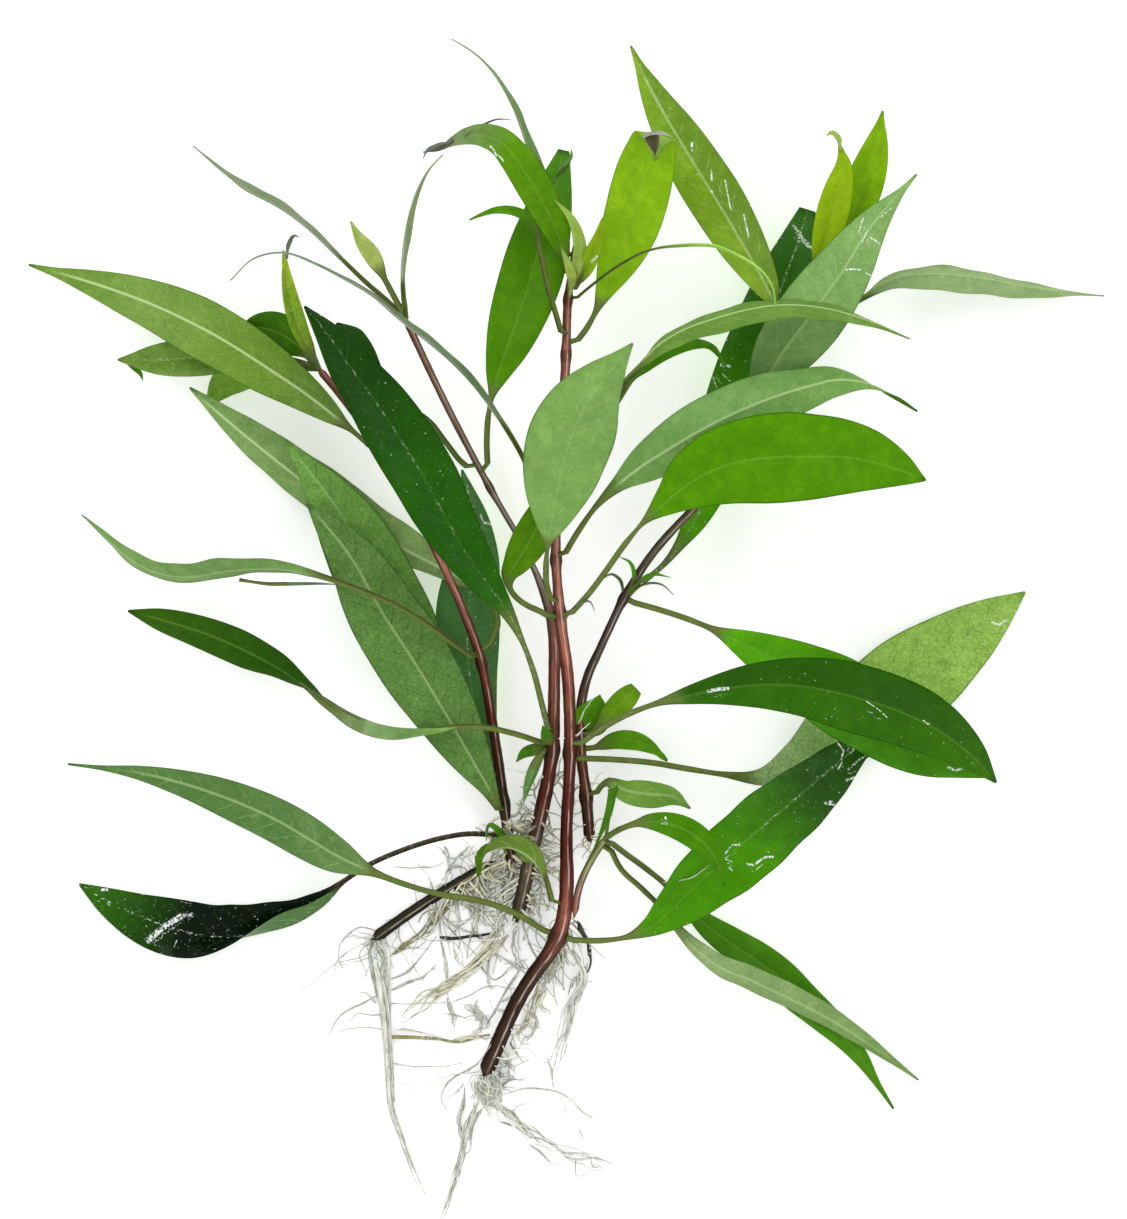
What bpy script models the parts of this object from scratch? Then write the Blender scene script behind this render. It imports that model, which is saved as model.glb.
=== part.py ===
"""A bare-rooted bunch of hygrophila lying on a table, as Blender objects in metres, +Z up.

Four rooted stems and one side shoot carry opposite, lance-shaped leaves. The shoot tips point along +Y,
the roots along -Y, and the table is the plane z = 0. Every leaf is one closed solid: a loft from a square
stalk to a thin blade whose two halves meet in a shallow V. Stems and root bundles are bevelled curves.
Routes are given in millimetres from the lower left corner of the laid-out plant and moved by PLANT_CENTRE.
"""

from dataclasses import dataclass

import bmesh
import bpy
import numpy as np

MM = 0.001
PLANT_CENTRE = (141.7, 147.8)  # mm, the middle of the laid-out plant, which becomes the origin
JOINT_GAP = 0.35  # mm of air between a stalk and the stem that it grows from
STALK_HALF_WIDTH = 0.75  # mm
STALK_HALF_DEPTH = 0.65  # mm
BLADE_HALF_DEPTH = 0.45  # mm at the midrib
TIP_HALF_DEPTH = 0.22  # mm
TIP_HALF_WIDTH = 0.3  # mm
FULL_BLADE = (0.25, 0.8)  # shares of the blade between which it has its full depth
VEE_EASED_IN = 0.15  # share of the blade over which its halves lift to their angle
TABLE_SOFTNESS = 0.8  # mm over which a leaf eases on to the table instead of going through it
LEAF_STATIONS = 15
STEM_STEP = 7.0  # mm between rings of a stem
STEM_ROUNDNESS = 2  # bevel resolution, which gives a stem 8 sides
ROOT_STEP = 8.0  # mm between rings of a root bundle
ROOT_ROUNDNESS = 1  # bevel resolution, which gives a root bundle 6 sides
LEAST_STEP = 0.2  # mm between two rings
NODE_SWELLING = 0.28  # share by which a stem is thicker at a leaf node
NODE_HALF_LENGTH = 2.4  # mm
NO_NODE = 1000.0  # mm, the distance to a leaf node where a stem has none
FINE_STEP = 0.4  # mm between the samples from which a route is measured
LEAF_ROUGHNESS = 0.35
STEM_ROUGHNESS = 0.45

GREEN_DEEP = (0.03, 0.14, 0.015)
GREEN_BRIGHT = (0.11, 0.34, 0.01)
GREEN_YOUNG = (0.24, 0.45, 0.04)
GREEN_PALE = (0.24, 0.40, 0.16)
STEM_RED = (0.22, 0.07, 0.045)
STEM_BROWN = (0.08, 0.04, 0.02)
ROOT_WHITE = (0.75, 0.74, 0.62)


@dataclass(frozen=True)
class Stem:
    """A stem or a root bundle: (x, y, z, radius) in mm along it, and which of those points are leaf nodes."""

    route: tuple
    nodes: tuple = ()
    colour: tuple = STEM_RED


@dataclass(frozen=True)
class Leaf:
    """A leaf: the midrib's (x, y, z) in mm from the stem's axis to the tip, and its blade.

    width is the blade's full width in mm, stalk the bare share of the route, and belly where along the
    blade it is widest. roll is in degrees at even steps along the blade: 0 faces up, 90 stands on its
    right edge and 180 shows its underside. vee, at even steps too, lifts both halves from flat by so many
    degrees. fullness shapes the outline: 2 is a plain lens and more draws out both ends. blunt is how
    much of the blade's length is there, for a tip that is torn off.
    """

    stem: str
    route: tuple
    width: float
    stalk: float = 0.15
    belly: float = 0.45
    roll: tuple = (0,)
    vee: tuple = (14,)
    fullness: float = 2.3
    blunt: float = 1.0
    colour: tuple = GREEN_BRIGHT


STEMS = {
    "front_stem": Stem(
        route=((121, 36, 2.6, 2), (130.5, 57, 6, 1.85), (139.5, 71, 11, 1.95), (141.7, 100, 16, 1.5),
               (142.5, 117, 20, 1.5), (142, 135, 23, 1.5), (140, 151.5, 24, 1.35), (139, 165, 25, 1.2),
               (140, 188, 24, 1.15), (141.5, 216, 25, 1.15), (142, 230, 28, 1), (144, 245, 33, 0.5)),
        nodes=(2, 4, 6, 7, 8, 9, 10)),
    "back_stem": Stem(
        route=((129, 74.5, 6, 1.8), (132.5, 90, 8, 1.8), (138, 117.5, 14, 1.7), (138.5, 131, 16, 1.5),
               (137.5, 152, 19, 1.3), (133, 164, 21, 0.75), (122.5, 183, 26, 0.8), (112, 203, 30, 0.85),
               (101.5, 225, 34, 0.9)),
        nodes=(2, 6, 8)),
    "left_stem": Stem(
        route=((128, 88, 6, 1.3), (126, 104, 8, 1.35), (122.5, 128, 13, 1.25), (120.5, 139, 15, 1.25),
               (113, 159, 17, 1.05), (104.5, 176, 17, 1.05), (97, 189, 16, 1.05), (87, 204, 15, 1),
               (79.5, 213, 17, 0.9)),
        nodes=(1, 3, 6, 8)),
    "right_stem": Stem(
        route=((147.5, 94.5, 7, 1.5), (146.5, 106, 8, 1.4), (145, 121, 10, 1.35), (146, 133, 12, 1.2),
               (151, 145, 16, 1.05), (156, 155.5, 18, 1.1), (165, 169, 20, 1.05), (173, 177.5, 21, 1.1),
               (186, 196, 18, 1.1), (195, 217, 16, 1), (202, 233, 15, 0.9)),
        nodes=(1, 2, 5, 8, 10)),
    "side_shoot": Stem(
        route=((143.5, 75.8, 14.5, 0.9), (145, 84, 16, 0.9), (148, 90.5, 19, 0.9), (151.5, 96, 22, 1.0)),
        nodes=(3,)),
    "rhizome": Stem(
        route=((93, 70, 1.7, 1.5), (105, 78.5, 2, 1.3), (116.5, 85.5, 2.1, 1.3), (124, 89.7, 2.1, 1.1)),
        colour=STEM_BROWN),
}

ROOTS = {
    "root_bundle_left": Stem(
        route=((94, 66.5, 2.2, 2.0), (96.5, 52, 1.7, 1.7), (97.3, 40, 1.4, 1.4), (98.5, 27, 1.1, 1.1),
               (101.5, 18, 0.9, 0.9), (106, 6, 0.5, 0.4)),
        colour=ROOT_WHITE),
    "root_bundle_middle": Stem(
        route=((120, 31, 1.7, 1.7), (117, 24, 1.3, 1.3), (114.5, 13, 0.8, 0.8), (110.5, 0.5, 0.4, 0.35)),
        colour=ROOT_WHITE),
    "root_bundle_right": Stem(
        route=((123.5, 31, 1.5, 1.5), (129, 25, 1.2, 1.2), (140, 17.5, 0.7, 0.7), (152, 13, 0.4, 0.35)),
        colour=ROOT_WHITE),
    "root_bundle_centre": Stem(
        route=((127, 71.5, 2.6, 1.5), (119, 64, 1.8, 1.5), (109, 57, 1.2, 1.2), (100, 50, 0.6, 0.5)),
        colour=ROOT_WHITE),
    "root_tuft_front": Stem(
        route=((143.5, 67, 8.0, 2.0), (146, 62, 5.0, 2.2), (143, 54, 2.2, 1.6), (139, 37, 0.6, 0.4)),
        colour=ROOT_WHITE),
}

LEAVES = {
    "front_stem_leaf_1": Leaf(
        "front_stem",
        route=((139, 71, 11), (135.5, 72.7, 12), (129, 76.8, 13), (121.5, 79.6, 13), (113, 81, 13),
               (105, 82.8, 12.5), (97.5, 85.6, 12.5), (90, 88.4, 12.5), (82.5, 92.2, 13), (71.7, 98.8, 13),
               (54.2, 106.5, 11), (37.5, 111.3, 7), (17, 114, 2)),
        width=11.5, stalk=0.36, belly=0.32, roll=(180, 186, 180, 180), colour=GREEN_PALE),
    "front_stem_leaf_2": Leaf(
        "front_stem",
        route=((140, 71, 11), (144.5, 69.8, 12), (151.7, 70.3, 13), (160, 71.9, 15), (165.8, 76, 16.5),
               (171.7, 81.8, 17.5), (179.2, 88.8, 18.5), (188.3, 96.7, 19.5), (196.7, 103.8, 19),
               (203.3, 109.4, 18), (210, 115, 16.5), (221, 124, 13)),
        width=20, stalk=0.19, belly=0.47, roll=(8, 18, 18, 14), vee=(18,), fullness=1.9),
    "front_stem_leaf_3": Leaf(
        "front_stem",
        route=((138.5, 72, 11), (137.5, 82, 15), (134.5, 89, 17), (127, 93.5, 16.5), (121.5, 92, 15),
               (119.5, 86, 12)),
        width=8, stalk=0.3, belly=0.5, roll=(40, 150, 100, 0), vee=(25,)),
    "front_stem_leaf_4": Leaf(
        "front_stem",
        route=((143, 117.5, 20), (147, 120.7, 24), (152.5, 124.2, 29), (159.2, 127.6, 33),
               (169.2, 130.7, 36), (180, 132.9, 38), (191.7, 134, 39), (201.7, 133.4, 39),
               (211.7, 131.2, 37.5), (223.3, 127.7, 34), (233.3, 123, 30), (241.7, 117, 26),
               (248.7, 109.5, 22)),
        width=17.5, stalk=0.18, belly=0.6, roll=(0, 8, 4, -10), vee=(10,), fullness=2.4, colour=GREEN_DEEP),
    "front_stem_leaf_5": Leaf(
        "front_stem",
        route=((143, 115.5, 20), (147, 115.6, 19), (152, 115.3, 18), (160, 114.8, 16.5), (170, 113.2, 14.5),
               (180, 111.6, 13), (190, 110.8, 11.5), (199.6, 114, 10), (208, 120, 9), (216, 126.3, 7.5),
               (231.3, 137.6, 5), (243, 146.8, 3), (256.3, 157, 1)),
        width=23.5, stalk=0.32, belly=0.54, roll=(180, 200, 185, 180), vee=(10,), fullness=2.2,
        colour=GREEN_PALE),
    "front_stem_leaf_6": Leaf(
        "front_stem",
        route=((140.5, 149, 24), (143, 152, 26), (146.7, 156, 28), (151.7, 162.6, 31), (155.5, 168, 33.5),
               (160, 173.5, 36), (166, 179, 38.5), (175.8, 186.2, 41), (190, 190.2, 42), (200, 190.5, 41.5),
               (212.5, 190.3, 38), (221, 188.4, 34.5), (231, 184.8, 29)),
        width=22.5, stalk=0.33, belly=0.48, roll=(0, 5, 0, 0), vee=(6,), fullness=1.75),
    "front_stem_leaf_7": Leaf(
        "front_stem",
        route=((139.5, 151, 24), (136.8, 158, 29), (136.6, 165, 33), (138, 175, 38), (140, 185, 43),
               (142.2, 193.5, 47.5), (146.3, 203, 53), (158, 218.5, 59)),
        width=22, stalk=0.25, belly=0.47, roll=(180, 184, 184, 200), vee=(12,), colour=GREEN_PALE),
    "front_stem_leaf_8": Leaf(
        "front_stem",
        route=((139.5, 163.5, 25), (143, 169.5, 28.5), (147.5, 176.5, 30.5), (154, 183.3, 31.5),
               (160, 188, 33), (167, 192.4, 34), (180, 199.8, 34.5), (190, 204.2, 33.5), (203, 208.3, 31),
               (212, 209.8, 29), (221, 206.8, 26), (229, 202, 22)),
        width=15, stalk=0.2, belly=0.4, roll=(180, 180, 180, 150, 20), vee=(8,), colour=GREEN_PALE),
    "front_stem_leaf_9": Leaf(
        "front_stem",
        route=((139, 166, 25), (136, 176, 26.5), (131, 190, 30.5), (124, 201.5, 37.5), (117.5, 210, 41.5),
               (110, 217.2, 43), (101.5, 223.7, 43.5), (95, 229.5, 43), (86, 235, 41.5), (77.5, 239.2, 39),
               (71, 241.3, 37), (65.5, 240.5, 35), (61, 238, 33), (58, 234.5, 31)),
        width=8, stalk=0.28, belly=0.3, roll=(75, 78, 84, 84, 84), vee=(8,)),
    "front_stem_leaf_10": Leaf(
        "front_stem",
        route=((140, 187, 24), (148, 198, 28), (154, 207, 31), (158, 211, 33), (166, 219, 36),
               (180, 225, 38.5), (195, 228, 38), (207.5, 227, 35), (217.5, 224, 31), (227, 220, 27)),
        width=12.5, stalk=0.27, belly=0.45, roll=(118, 118, 112), vee=(8,)),
    "front_stem_leaf_11": Leaf(
        "front_stem",
        route=((140.5, 190, 24), (148, 196.5, 25), (154.5, 204.5, 25), (159, 212, 25), (165, 216.5, 24),
               (172, 219, 23), (177.5, 218.5, 21), (182, 212, 18)),
        width=7, stalk=0.4, belly=0.4, roll=(60, 60, 55), colour=GREEN_PALE),
    "front_stem_leaf_12": Leaf(
        "front_stem",
        route=((141.5, 216, 25), (147.2, 223.5, 28), (151.6, 233, 30.5), (155.9, 243, 33), (159, 253, 36),
               (161.3, 262, 38), (163.3, 269, 39), (164, 271.5, 41), (163.8, 268, 43.5), (163.6, 264, 44.5)),
        width=15.5, stalk=0.18, belly=0.55, roll=(0,), vee=(10,), fullness=2),
    "front_stem_leaf_13": Leaf(
        "front_stem",
        route=((141.5, 217.5, 25), (139.3, 225, 31), (136.7, 234, 35), (135, 242, 36.5), (133.2, 248, 36.5),
               (129.5, 251, 37), (124, 251.6, 37), (117.5, 249.4, 36)),
        width=4.2, stalk=0.55, belly=0.4, roll=(40, 50, 40)),
    "front_stem_leaf_14": Leaf(
        "front_stem",
        route=((142, 230, 28), (141.5, 239, 34), (138.5, 248, 40), (134.3, 256, 45), (130, 263, 49),
               (125.5, 268.3, 50.5), (120.5, 270.2, 49), (116, 269.7, 46), (112, 268, 43), (109, 266.5, 40.5),
               (106, 266.2, 39)),
        width=9, stalk=0.12, belly=0.42, roll=(0, 10, 5, 10, 60), vee=(12,)),
    "front_stem_leaf_15": Leaf(
        "front_stem",
        route=((142, 229.5, 28), (141.5, 240, 31), (139.4, 250, 32.5), (136.3, 258, 33), (132.5, 267, 32),
               (128.8, 277, 29), (124, 285.5, 24), (119, 291, 18), (113, 295, 12)),
        width=9, stalk=0.15, belly=0.4, roll=(80, 75, 84, 86), vee=(8,), colour=GREEN_PALE),
    "front_stem_leaf_16": Leaf(
        "front_stem",
        route=((142.5, 231, 28), (145.3, 235, 35), (147.8, 239.5, 41), (149.5, 244, 45), (150.7, 249.8, 47)),
        width=5, stalk=0.15, belly=0.5, roll=(-25,), vee=(25,), colour=GREEN_YOUNG),
    "front_stem_leaf_17": Leaf(
        "front_stem",
        route=((142.3, 228.5, 28), (148, 233.3, 34), (155, 238.3, 39), (162, 241.8, 42), (170.5, 243, 43),
               (178.5, 242.8, 44), (185, 240, 45), (189.5, 237.2, 45.5), (192.6, 233, 45.5),
               (193.4, 227.5, 44.5)),
        width=4.5, stalk=0.3, belly=0.5, roll=(84,), vee=(6,)),
    "front_stem_leaf_18": Leaf(
        "front_stem",
        route=((139.6, 149.5, 24), (135, 152.2, 26), (130, 154.8, 28), (127, 159.3, 29), (130.3, 166, 30),
               (133.5, 171.5, 30.5), (137, 179, 31.5), (140, 187, 32)),
        width=9.5, stalk=0.3, belly=0.5, roll=(0,), vee=(10,)),
    "back_stem_leaf_1": Leaf(
        "back_stem",
        route=((138, 118.5, 14), (132, 120.6, 19), (126, 122.4, 22), (117, 123.6, 22.5), (107.5, 122.4, 20),
               (97.5, 121.9, 17), (88.5, 124.8, 14), (81, 129.9, 12), (76, 133.6, 10.5), (71, 137, 9),
               (62, 142, 8), (51.7, 146.5, 6), (42, 149.6, 4.5), (32, 152.3, 3)),
        width=9, stalk=0.23, belly=0.68, roll=(150, 115, 110, 60, 5, 0, 0), vee=(10,), colour=GREEN_DEEP),
    "back_stem_leaf_2": Leaf(
        "back_stem",
        route=((138, 119, 14), (135.5, 129, 24), (132.5, 140, 29), (127.5, 151, 32), (118, 164.5, 34),
               (104, 189, 37), (94, 204.5, 39), (86, 215.5, 39), (80, 224, 37), (76.5, 228, 35)),
        width=17, stalk=0.26, belly=0.52, roll=(0, 5, 5, 5), vee=(14,), fullness=2, colour=GREEN_DEEP),
    "back_stem_leaf_3": Leaf(
        "back_stem",
        route=((122.3, 183.5, 26), (119, 186.5, 27.5), (115.5, 189.3, 28), (111, 195, 28), (106.5, 200.3, 28),
               (102, 202.5, 28), (96.5, 205.8, 28), (91.5, 211, 27.5), (87.5, 217.5, 27), (84.5, 224, 26)),
        width=12, stalk=0.47, belly=0.68, roll=(-30, -10, 0), fullness=2),
    "back_stem_leaf_4": Leaf(
        "back_stem",
        route=((122.5, 183, 26), (121.8, 192, 29), (122.2, 201, 31), (124.3, 210.5, 32), (128, 221, 32),
               (131.5, 231.5, 29.5), (135, 243.5, 27), (138.5, 257, 24), (141, 267, 21)),
        width=16, stalk=0.25, belly=0.45, roll=(0, 0, 0), vee=(10,), blunt=0.92, colour=GREEN_DEEP),
    "back_stem_leaf_5": Leaf(
        "back_stem",
        route=((101.5, 225, 34), (97.5, 229, 33), (92.5, 233.3, 32), (85.5, 240, 31), (77, 248, 28),
               (70.5, 252.7, 25), (64, 256.3, 22), (57.5, 260.5, 18), (53, 264.3, 15), (48.5, 268.3, 12)),
        width=8.5, stalk=0.2, belly=0.5, roll=(84, 80, 72, 78), vee=(8,), colour=GREEN_PALE),
    "back_stem_leaf_6": Leaf(
        "back_stem",
        route=((101.3, 225.5, 34), (98.7, 230.5, 36), (96.3, 235, 38), (93.2, 240.5, 39.5), (90, 245, 40),
               (88, 249, 40)),
        width=4.8, stalk=0.38, belly=0.45, roll=(10,), vee=(25,), colour=GREEN_YOUNG),
    "back_stem_leaf_7": Leaf(
        "back_stem",
        route=((101.7, 225.5, 34), (101, 232.5, 38), (101.3, 241, 41), (102.7, 250, 43), (105, 257.5, 44),
               (108, 262.5, 44), (111, 265.5, 43)),
        width=7.5, stalk=0.15, belly=0.4, roll=(84, 78, 84), vee=(8,), colour=GREEN_PALE),
    "left_stem_leaf_1": Leaf(
        "left_stem",
        route=((127.5, 96, 7), (120, 96.8, 9), (112.5, 96, 9), (102.5, 93.2, 8), (93.5, 89.5, 7),
               (87.5, 86, 6), (82.5, 80.7, 5), (76.7, 75.7, 4.2), (70, 73.4, 3.6), (63.3, 71.6, 3),
               (55.8, 70.6, 2.5), (47.5, 71.8, 2), (39.2, 74.2, 1.8), (29.2, 78.6, 1.8), (19.8, 84, 1.5)),
        width=16.5, stalk=0.36, belly=0.52, roll=(60, 60, 45, 10, -5, -5), vee=(70, 70, 52, 20, 10, 10),
        fullness=1.9, colour=GREEN_DEEP),
    "left_stem_leaf_2": Leaf(
        "left_stem",
        route=((126, 108, 9), (119, 114, 10.5), (113, 124, 12), (104, 141, 13.5), (94, 160, 14.5),
               (84, 178.5, 16), (76.5, 188.5, 17), (71.5, 195, 17)),
        width=20, stalk=0.1, belly=0.5, roll=(190, 185, 180), vee=(10,), colour=GREEN_PALE),
    "left_stem_leaf_3": Leaf(
        "left_stem",
        route=((126.8, 98, 7.5), (123.5, 105.5, 12.5), (117.2, 116.8, 17), (111, 127.5, 19),
               (104.3, 138.6, 20), (96, 151.5, 20.5), (87, 167, 20.5), (77, 179, 20)),
        width=19, stalk=0.06, belly=0.52, roll=(180, 180, 175), vee=(6,), fullness=2, colour=GREEN_PALE),
    "left_stem_leaf_4": Leaf(
        "left_stem",
        route=((126.5, 100, 7.5), (123.6, 113, 5.5), (120, 124, 4.2), (117.3, 137, 4), (117, 152, 4),
               (118.5, 166, 5.5), (118, 178, 8.5), (115.5, 187.5, 10)),
        width=16, stalk=0.12, belly=0.5, roll=(0, 0, 0), vee=(6,), colour=GREEN_DEEP),
    "left_stem_leaf_5": Leaf(
        "left_stem",
        route=((120.3, 139.5, 15), (115, 143, 21), (107, 149, 25), (98, 154.3, 26), (89, 158, 24),
               (80, 161, 20), (70, 163, 15), (58, 162.6, 11), (47, 161, 8.5), (37.5, 162.6, 7),
               (30, 167.4, 6), (25, 172.3, 5), (20.5, 176.3, 4)),
        width=11, stalk=0.38, belly=0.5, roll=(120, 116, 116, 120), vee=(8,), colour=GREEN_PALE),
    "left_stem_leaf_6": Leaf(
        "left_stem",
        route=((120.8, 139.5, 15), (123.5, 146, 15), (124.5, 151, 13.5), (122.5, 155.5, 12), (117, 159.3, 11),
               (109, 163.7, 10), (92, 173, 10.5), (82, 180.2, 11), (72, 187.7, 11.5), (60, 197.3, 11),
               (47.5, 208, 9)),
        width=13.5, stalk=0.17, belly=0.5, roll=(160, 158, 158, 160), vee=(22,), fullness=1.9,
        colour=GREEN_PALE),
    "left_stem_leaf_7": Leaf(
        "left_stem",
        route=((97, 189, 16), (91.5, 194.5, 18.5), (86, 199, 20.5), (79, 204.6, 22), (67.5, 212.5, 22),
               (55, 220.4, 19.5), (41, 227.5, 15), (25, 233.6, 8), (7.2, 238.8, 1.5)),
        width=15, stalk=0.1, belly=0.45, roll=(190, 185, 180, 180), vee=(10,), colour=GREEN_PALE),
    "left_stem_leaf_8": Leaf(
        "left_stem",
        route=((79.5, 213, 17), (72.5, 215, 15), (64, 216, 13.5), (54, 215.8, 12), (42.5, 215, 9),
               (29.5, 215, 5)),
        width=10.5, stalk=0.12, belly=0.55, roll=(10, 10, 10), vee=(18,), colour=GREEN_YOUNG),
    "left_stem_leaf_9": Leaf(
        "left_stem",
        route=((79.2, 213.5, 17), (75.5, 217.7, 17.5), (70.5, 221.3, 17), (65, 223, 16.5), (59.5, 222.5, 16)),
        width=10, stalk=0.08, belly=0.5, roll=(0,), vee=(12,), colour=GREEN_DEEP),
    "left_stem_leaf_10": Leaf(
        "left_stem",
        route=((79, 212.5, 16.5), (71.5, 213.2, 12), (64, 213, 8.5), (57, 209.8, 5.5), (51.5, 203.2, 4)),
        width=9.5, stalk=0.1, belly=0.55, roll=(0,), vee=(12,), colour=GREEN_YOUNG),
    "left_stem_leaf_11": Leaf(
        "left_stem",
        route=((79.8, 213.5, 17), (78, 216.5, 23), (75.2, 222, 26.5), (73.2, 228, 28.5), (72, 235, 29.5),
               (71.2, 242, 30)),
        width=5, stalk=0.1, belly=0.45, roll=(15, 20, 0), vee=(22,), fullness=1.9, colour=GREEN_YOUNG),
    "right_stem_leaf_1": Leaf(
        "right_stem",
        route=((147, 102, 7.5), (149.5, 107.5, 11), (152, 109.7, 14), (156, 107.6, 15.5), (162.5, 106.5, 16),
               (168, 106, 15), (172.5, 103, 13)),
        width=7, stalk=0.25, belly=0.5, roll=(150, 175, 170), vee=(10,), colour=GREEN_PALE),
    "right_stem_leaf_2": Leaf(
        "right_stem",
        route=((145, 119.5, 10), (149, 123, 13), (153, 127, 15), (156.5, 130.5, 16), (159, 133, 16.5)),
        width=6, stalk=0.1, belly=0.65, roll=(0,), vee=(10,), blunt=0.9),
    "right_stem_leaf_3": Leaf(
        "right_stem",
        route=((156, 155, 18), (164, 152.8, 19), (172.5, 150, 20.5), (187.5, 143.3, 22.5), (200, 137, 23),
               (215, 128.5, 21.5), (230, 119, 19), (247.5, 110.8, 15)),
        width=20.5, stalk=0.19, belly=0.55, roll=(0, 12, 8, 0), vee=(12,), fullness=2.4),
    "right_stem_leaf_4": Leaf(
        "right_stem",
        route=((156.3, 155.5, 18), (160.8, 159.6, 17), (165.2, 163.2, 14.5), (169.4, 168.2, 11),
               (173.5, 174.5, 8), (177, 183, 6.5), (180.3, 192, 6.5), (184, 203, 6.5), (188, 213, 7),
               (192, 224, 8), (196.3, 236, 9), (199.8, 246, 10), (201.8, 252.5, 10.5)),
        width=17.5, stalk=0.1, belly=0.55, roll=(0, 0, 0), vee=(8,), fullness=2.6, blunt=0.93,
        colour=GREEN_DEEP),
    "right_stem_leaf_5": Leaf(
        "right_stem",
        route=((187, 198, 18), (189.5, 205.5, 22), (194, 214.5, 25.5), (200.5, 223.5, 27.5),
               (208.8, 234.5, 28.5), (217.5, 248, 27), (228.8, 261, 23)),
        width=17.5, stalk=0.08, belly=0.38, roll=(180, 180, 180), vee=(8,), colour=GREEN_PALE),
    "right_stem_leaf_6": Leaf(
        "right_stem",
        route=((198, 224.5, 15.5), (206, 225.8, 15), (214.5, 229.6, 13), (222.5, 234.6, 12),
               (232.5, 236, 10.5), (245, 235, 8.5), (260, 232.6, 5), (276, 231, 1.5)),
        width=13, stalk=0.22, belly=0.4, roll=(120, 120, 116), vee=(8,), colour=GREEN_PALE),
    "right_stem_leaf_7": Leaf(
        "right_stem",
        route=((196.5, 220.5, 15.5), (194.5, 226.5, 20), (191.3, 233.3, 22), (186.4, 242, 23.5),
               (180.4, 252.2, 23), (173, 264.3, 20.5), (166, 276.2, 15), (161.2, 285.5, 8),
               (157.7, 293.5, 1.5)),
        width=14, stalk=0.08, belly=0.42, roll=(180, 180, 180), vee=(10,), fullness=2.1,
        colour=GREEN_BRIGHT),
    "right_stem_leaf_8": Leaf(
        "right_stem",
        route=((202, 233, 15), (204.5, 240, 18), (207, 248, 20), (209.3, 257, 21), (210.6, 263.5, 21),
               (209.5, 269, 20.5)),
        width=8.5, stalk=0.08, belly=0.5, roll=(0,), vee=(14,), colour=GREEN_YOUNG),
    "right_stem_leaf_9": Leaf(
        "right_stem",
        route=((202.3, 232.5, 15), (208.5, 242, 16), (213, 251, 16), (216.3, 260, 15.5), (219, 269, 14.5),
               (220.5, 277, 13)),
        width=10, stalk=0.12, belly=0.5, roll=(0,), vee=(12,), colour=GREEN_YOUNG),
    "right_stem_leaf_10": Leaf(
        "right_stem",
        route=((145.2, 117.5, 9.5), (149, 118.3, 9), (154.2, 120, 8.5), (159.2, 119.7, 8),
               (163.3, 117.8, 7.5), (166.8, 114.8, 7)),
        width=5, stalk=0.1, belly=0.45, roll=(0,), vee=(12,), colour=GREEN_YOUNG),
    "side_shoot_leaf_1": Leaf(
        "side_shoot",
        route=((151.5, 96, 22), (156.5, 98.6, 27), (162, 99.9, 30.5), (167.5, 99.2, 32), (173, 96.8, 32),
               (177.5, 92.5, 30.5), (179.8, 88.5, 28), (180.7, 84, 25.5)),
        width=6.8, stalk=0.18, belly=0.5, roll=(0, 5, 0), vee=(12,)),
    "side_shoot_leaf_2": Leaf(
        "side_shoot",
        route=((151.5, 95.5, 22), (154.8, 88.5, 17.5), (163.7, 80, 13), (170.3, 72, 11), (177.6, 65, 10.5),
               (188.4, 60, 9.5), (197.7, 55.5, 8.5), (207.8, 50.2, 7), (218, 43.5, 4.5), (229.6, 35, 2)),
        width=8, stalk=0.26, belly=0.42, roll=(222, 218, 212), vee=(8,), fullness=1.9,
        colour=GREEN_PALE),
    "side_shoot_leaf_3": Leaf(
        "side_shoot",
        route=((151.8, 95.3, 21.5), (156, 92, 16), (160.5, 88.7, 10.5), (166.3, 84, 7.5), (171.5, 78.5, 6.5),
               (177.5, 73, 5.5), (185, 67.8, 5), (193.3, 62, 4.5), (201.7, 54.2, 3.5), (210, 46.7, 2.5),
               (215, 40.8, 2), (219.2, 34.2, 1.5), (223.4, 27.8, 1.2)),
        width=9.5, stalk=0.25, belly=0.42, roll=(-15, -10, -10), vee=(8,)),
}


def along_curve(points, step):
    """(samples, distance along) of a smooth curve through points, in even steps of about `step` mm.

    Each stretch is a cubic whose end slopes are the mean slope of its neighbours, by chord length.
    """
    p = np.array(points, float)
    chord = np.linalg.norm(np.diff(p[:, :3], axis=0), axis=1)
    knots = np.concatenate([[0], np.cumsum(chord)])
    slopes = np.gradient(p, knots, axis=0)
    t = np.linspace(0, knots[-1], int(knots[-1] / FINE_STEP) + 2)
    i = np.clip(np.searchsorted(knots, t, side="right") - 1, 0, len(chord) - 1)
    h = chord[i][:, None]
    s = ((t - knots[i]) / chord[i])[:, None]
    fine = ((2 * s**3 - 3 * s**2 + 1) * p[i] + (s**3 - 2 * s**2 + s) * h * slopes[i]
            + (3 * s**2 - 2 * s**3) * p[i + 1] + (s**3 - s**2) * h * slopes[i + 1])
    run = np.concatenate([[0], np.cumsum(np.linalg.norm(np.diff(fine[:, :3], axis=0), axis=1))])
    even = np.linspace(0, run[-1], max(2, round(run[-1] / step) + 1))
    return np.stack([np.interp(even, run, column) for column in fine.T], axis=1), even


def unit(vectors):
    return vectors / np.linalg.norm(vectors, axis=-1, keepdims=True)


def midrib_frames(line):
    """(forward, left side, upper normal) along a midrib, the side kept level and never flipping over."""
    forward = unit(np.gradient(line, axis=0))
    side = unit(np.cross((0, 0, 1), forward))
    turned = np.sign(np.sum(side[1:] * side[:-1], axis=1))
    side[1:] *= np.cumprod(np.where(turned == 0, 1, turned))[:, None]
    return forward, side, np.cross(forward, side)


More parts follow.
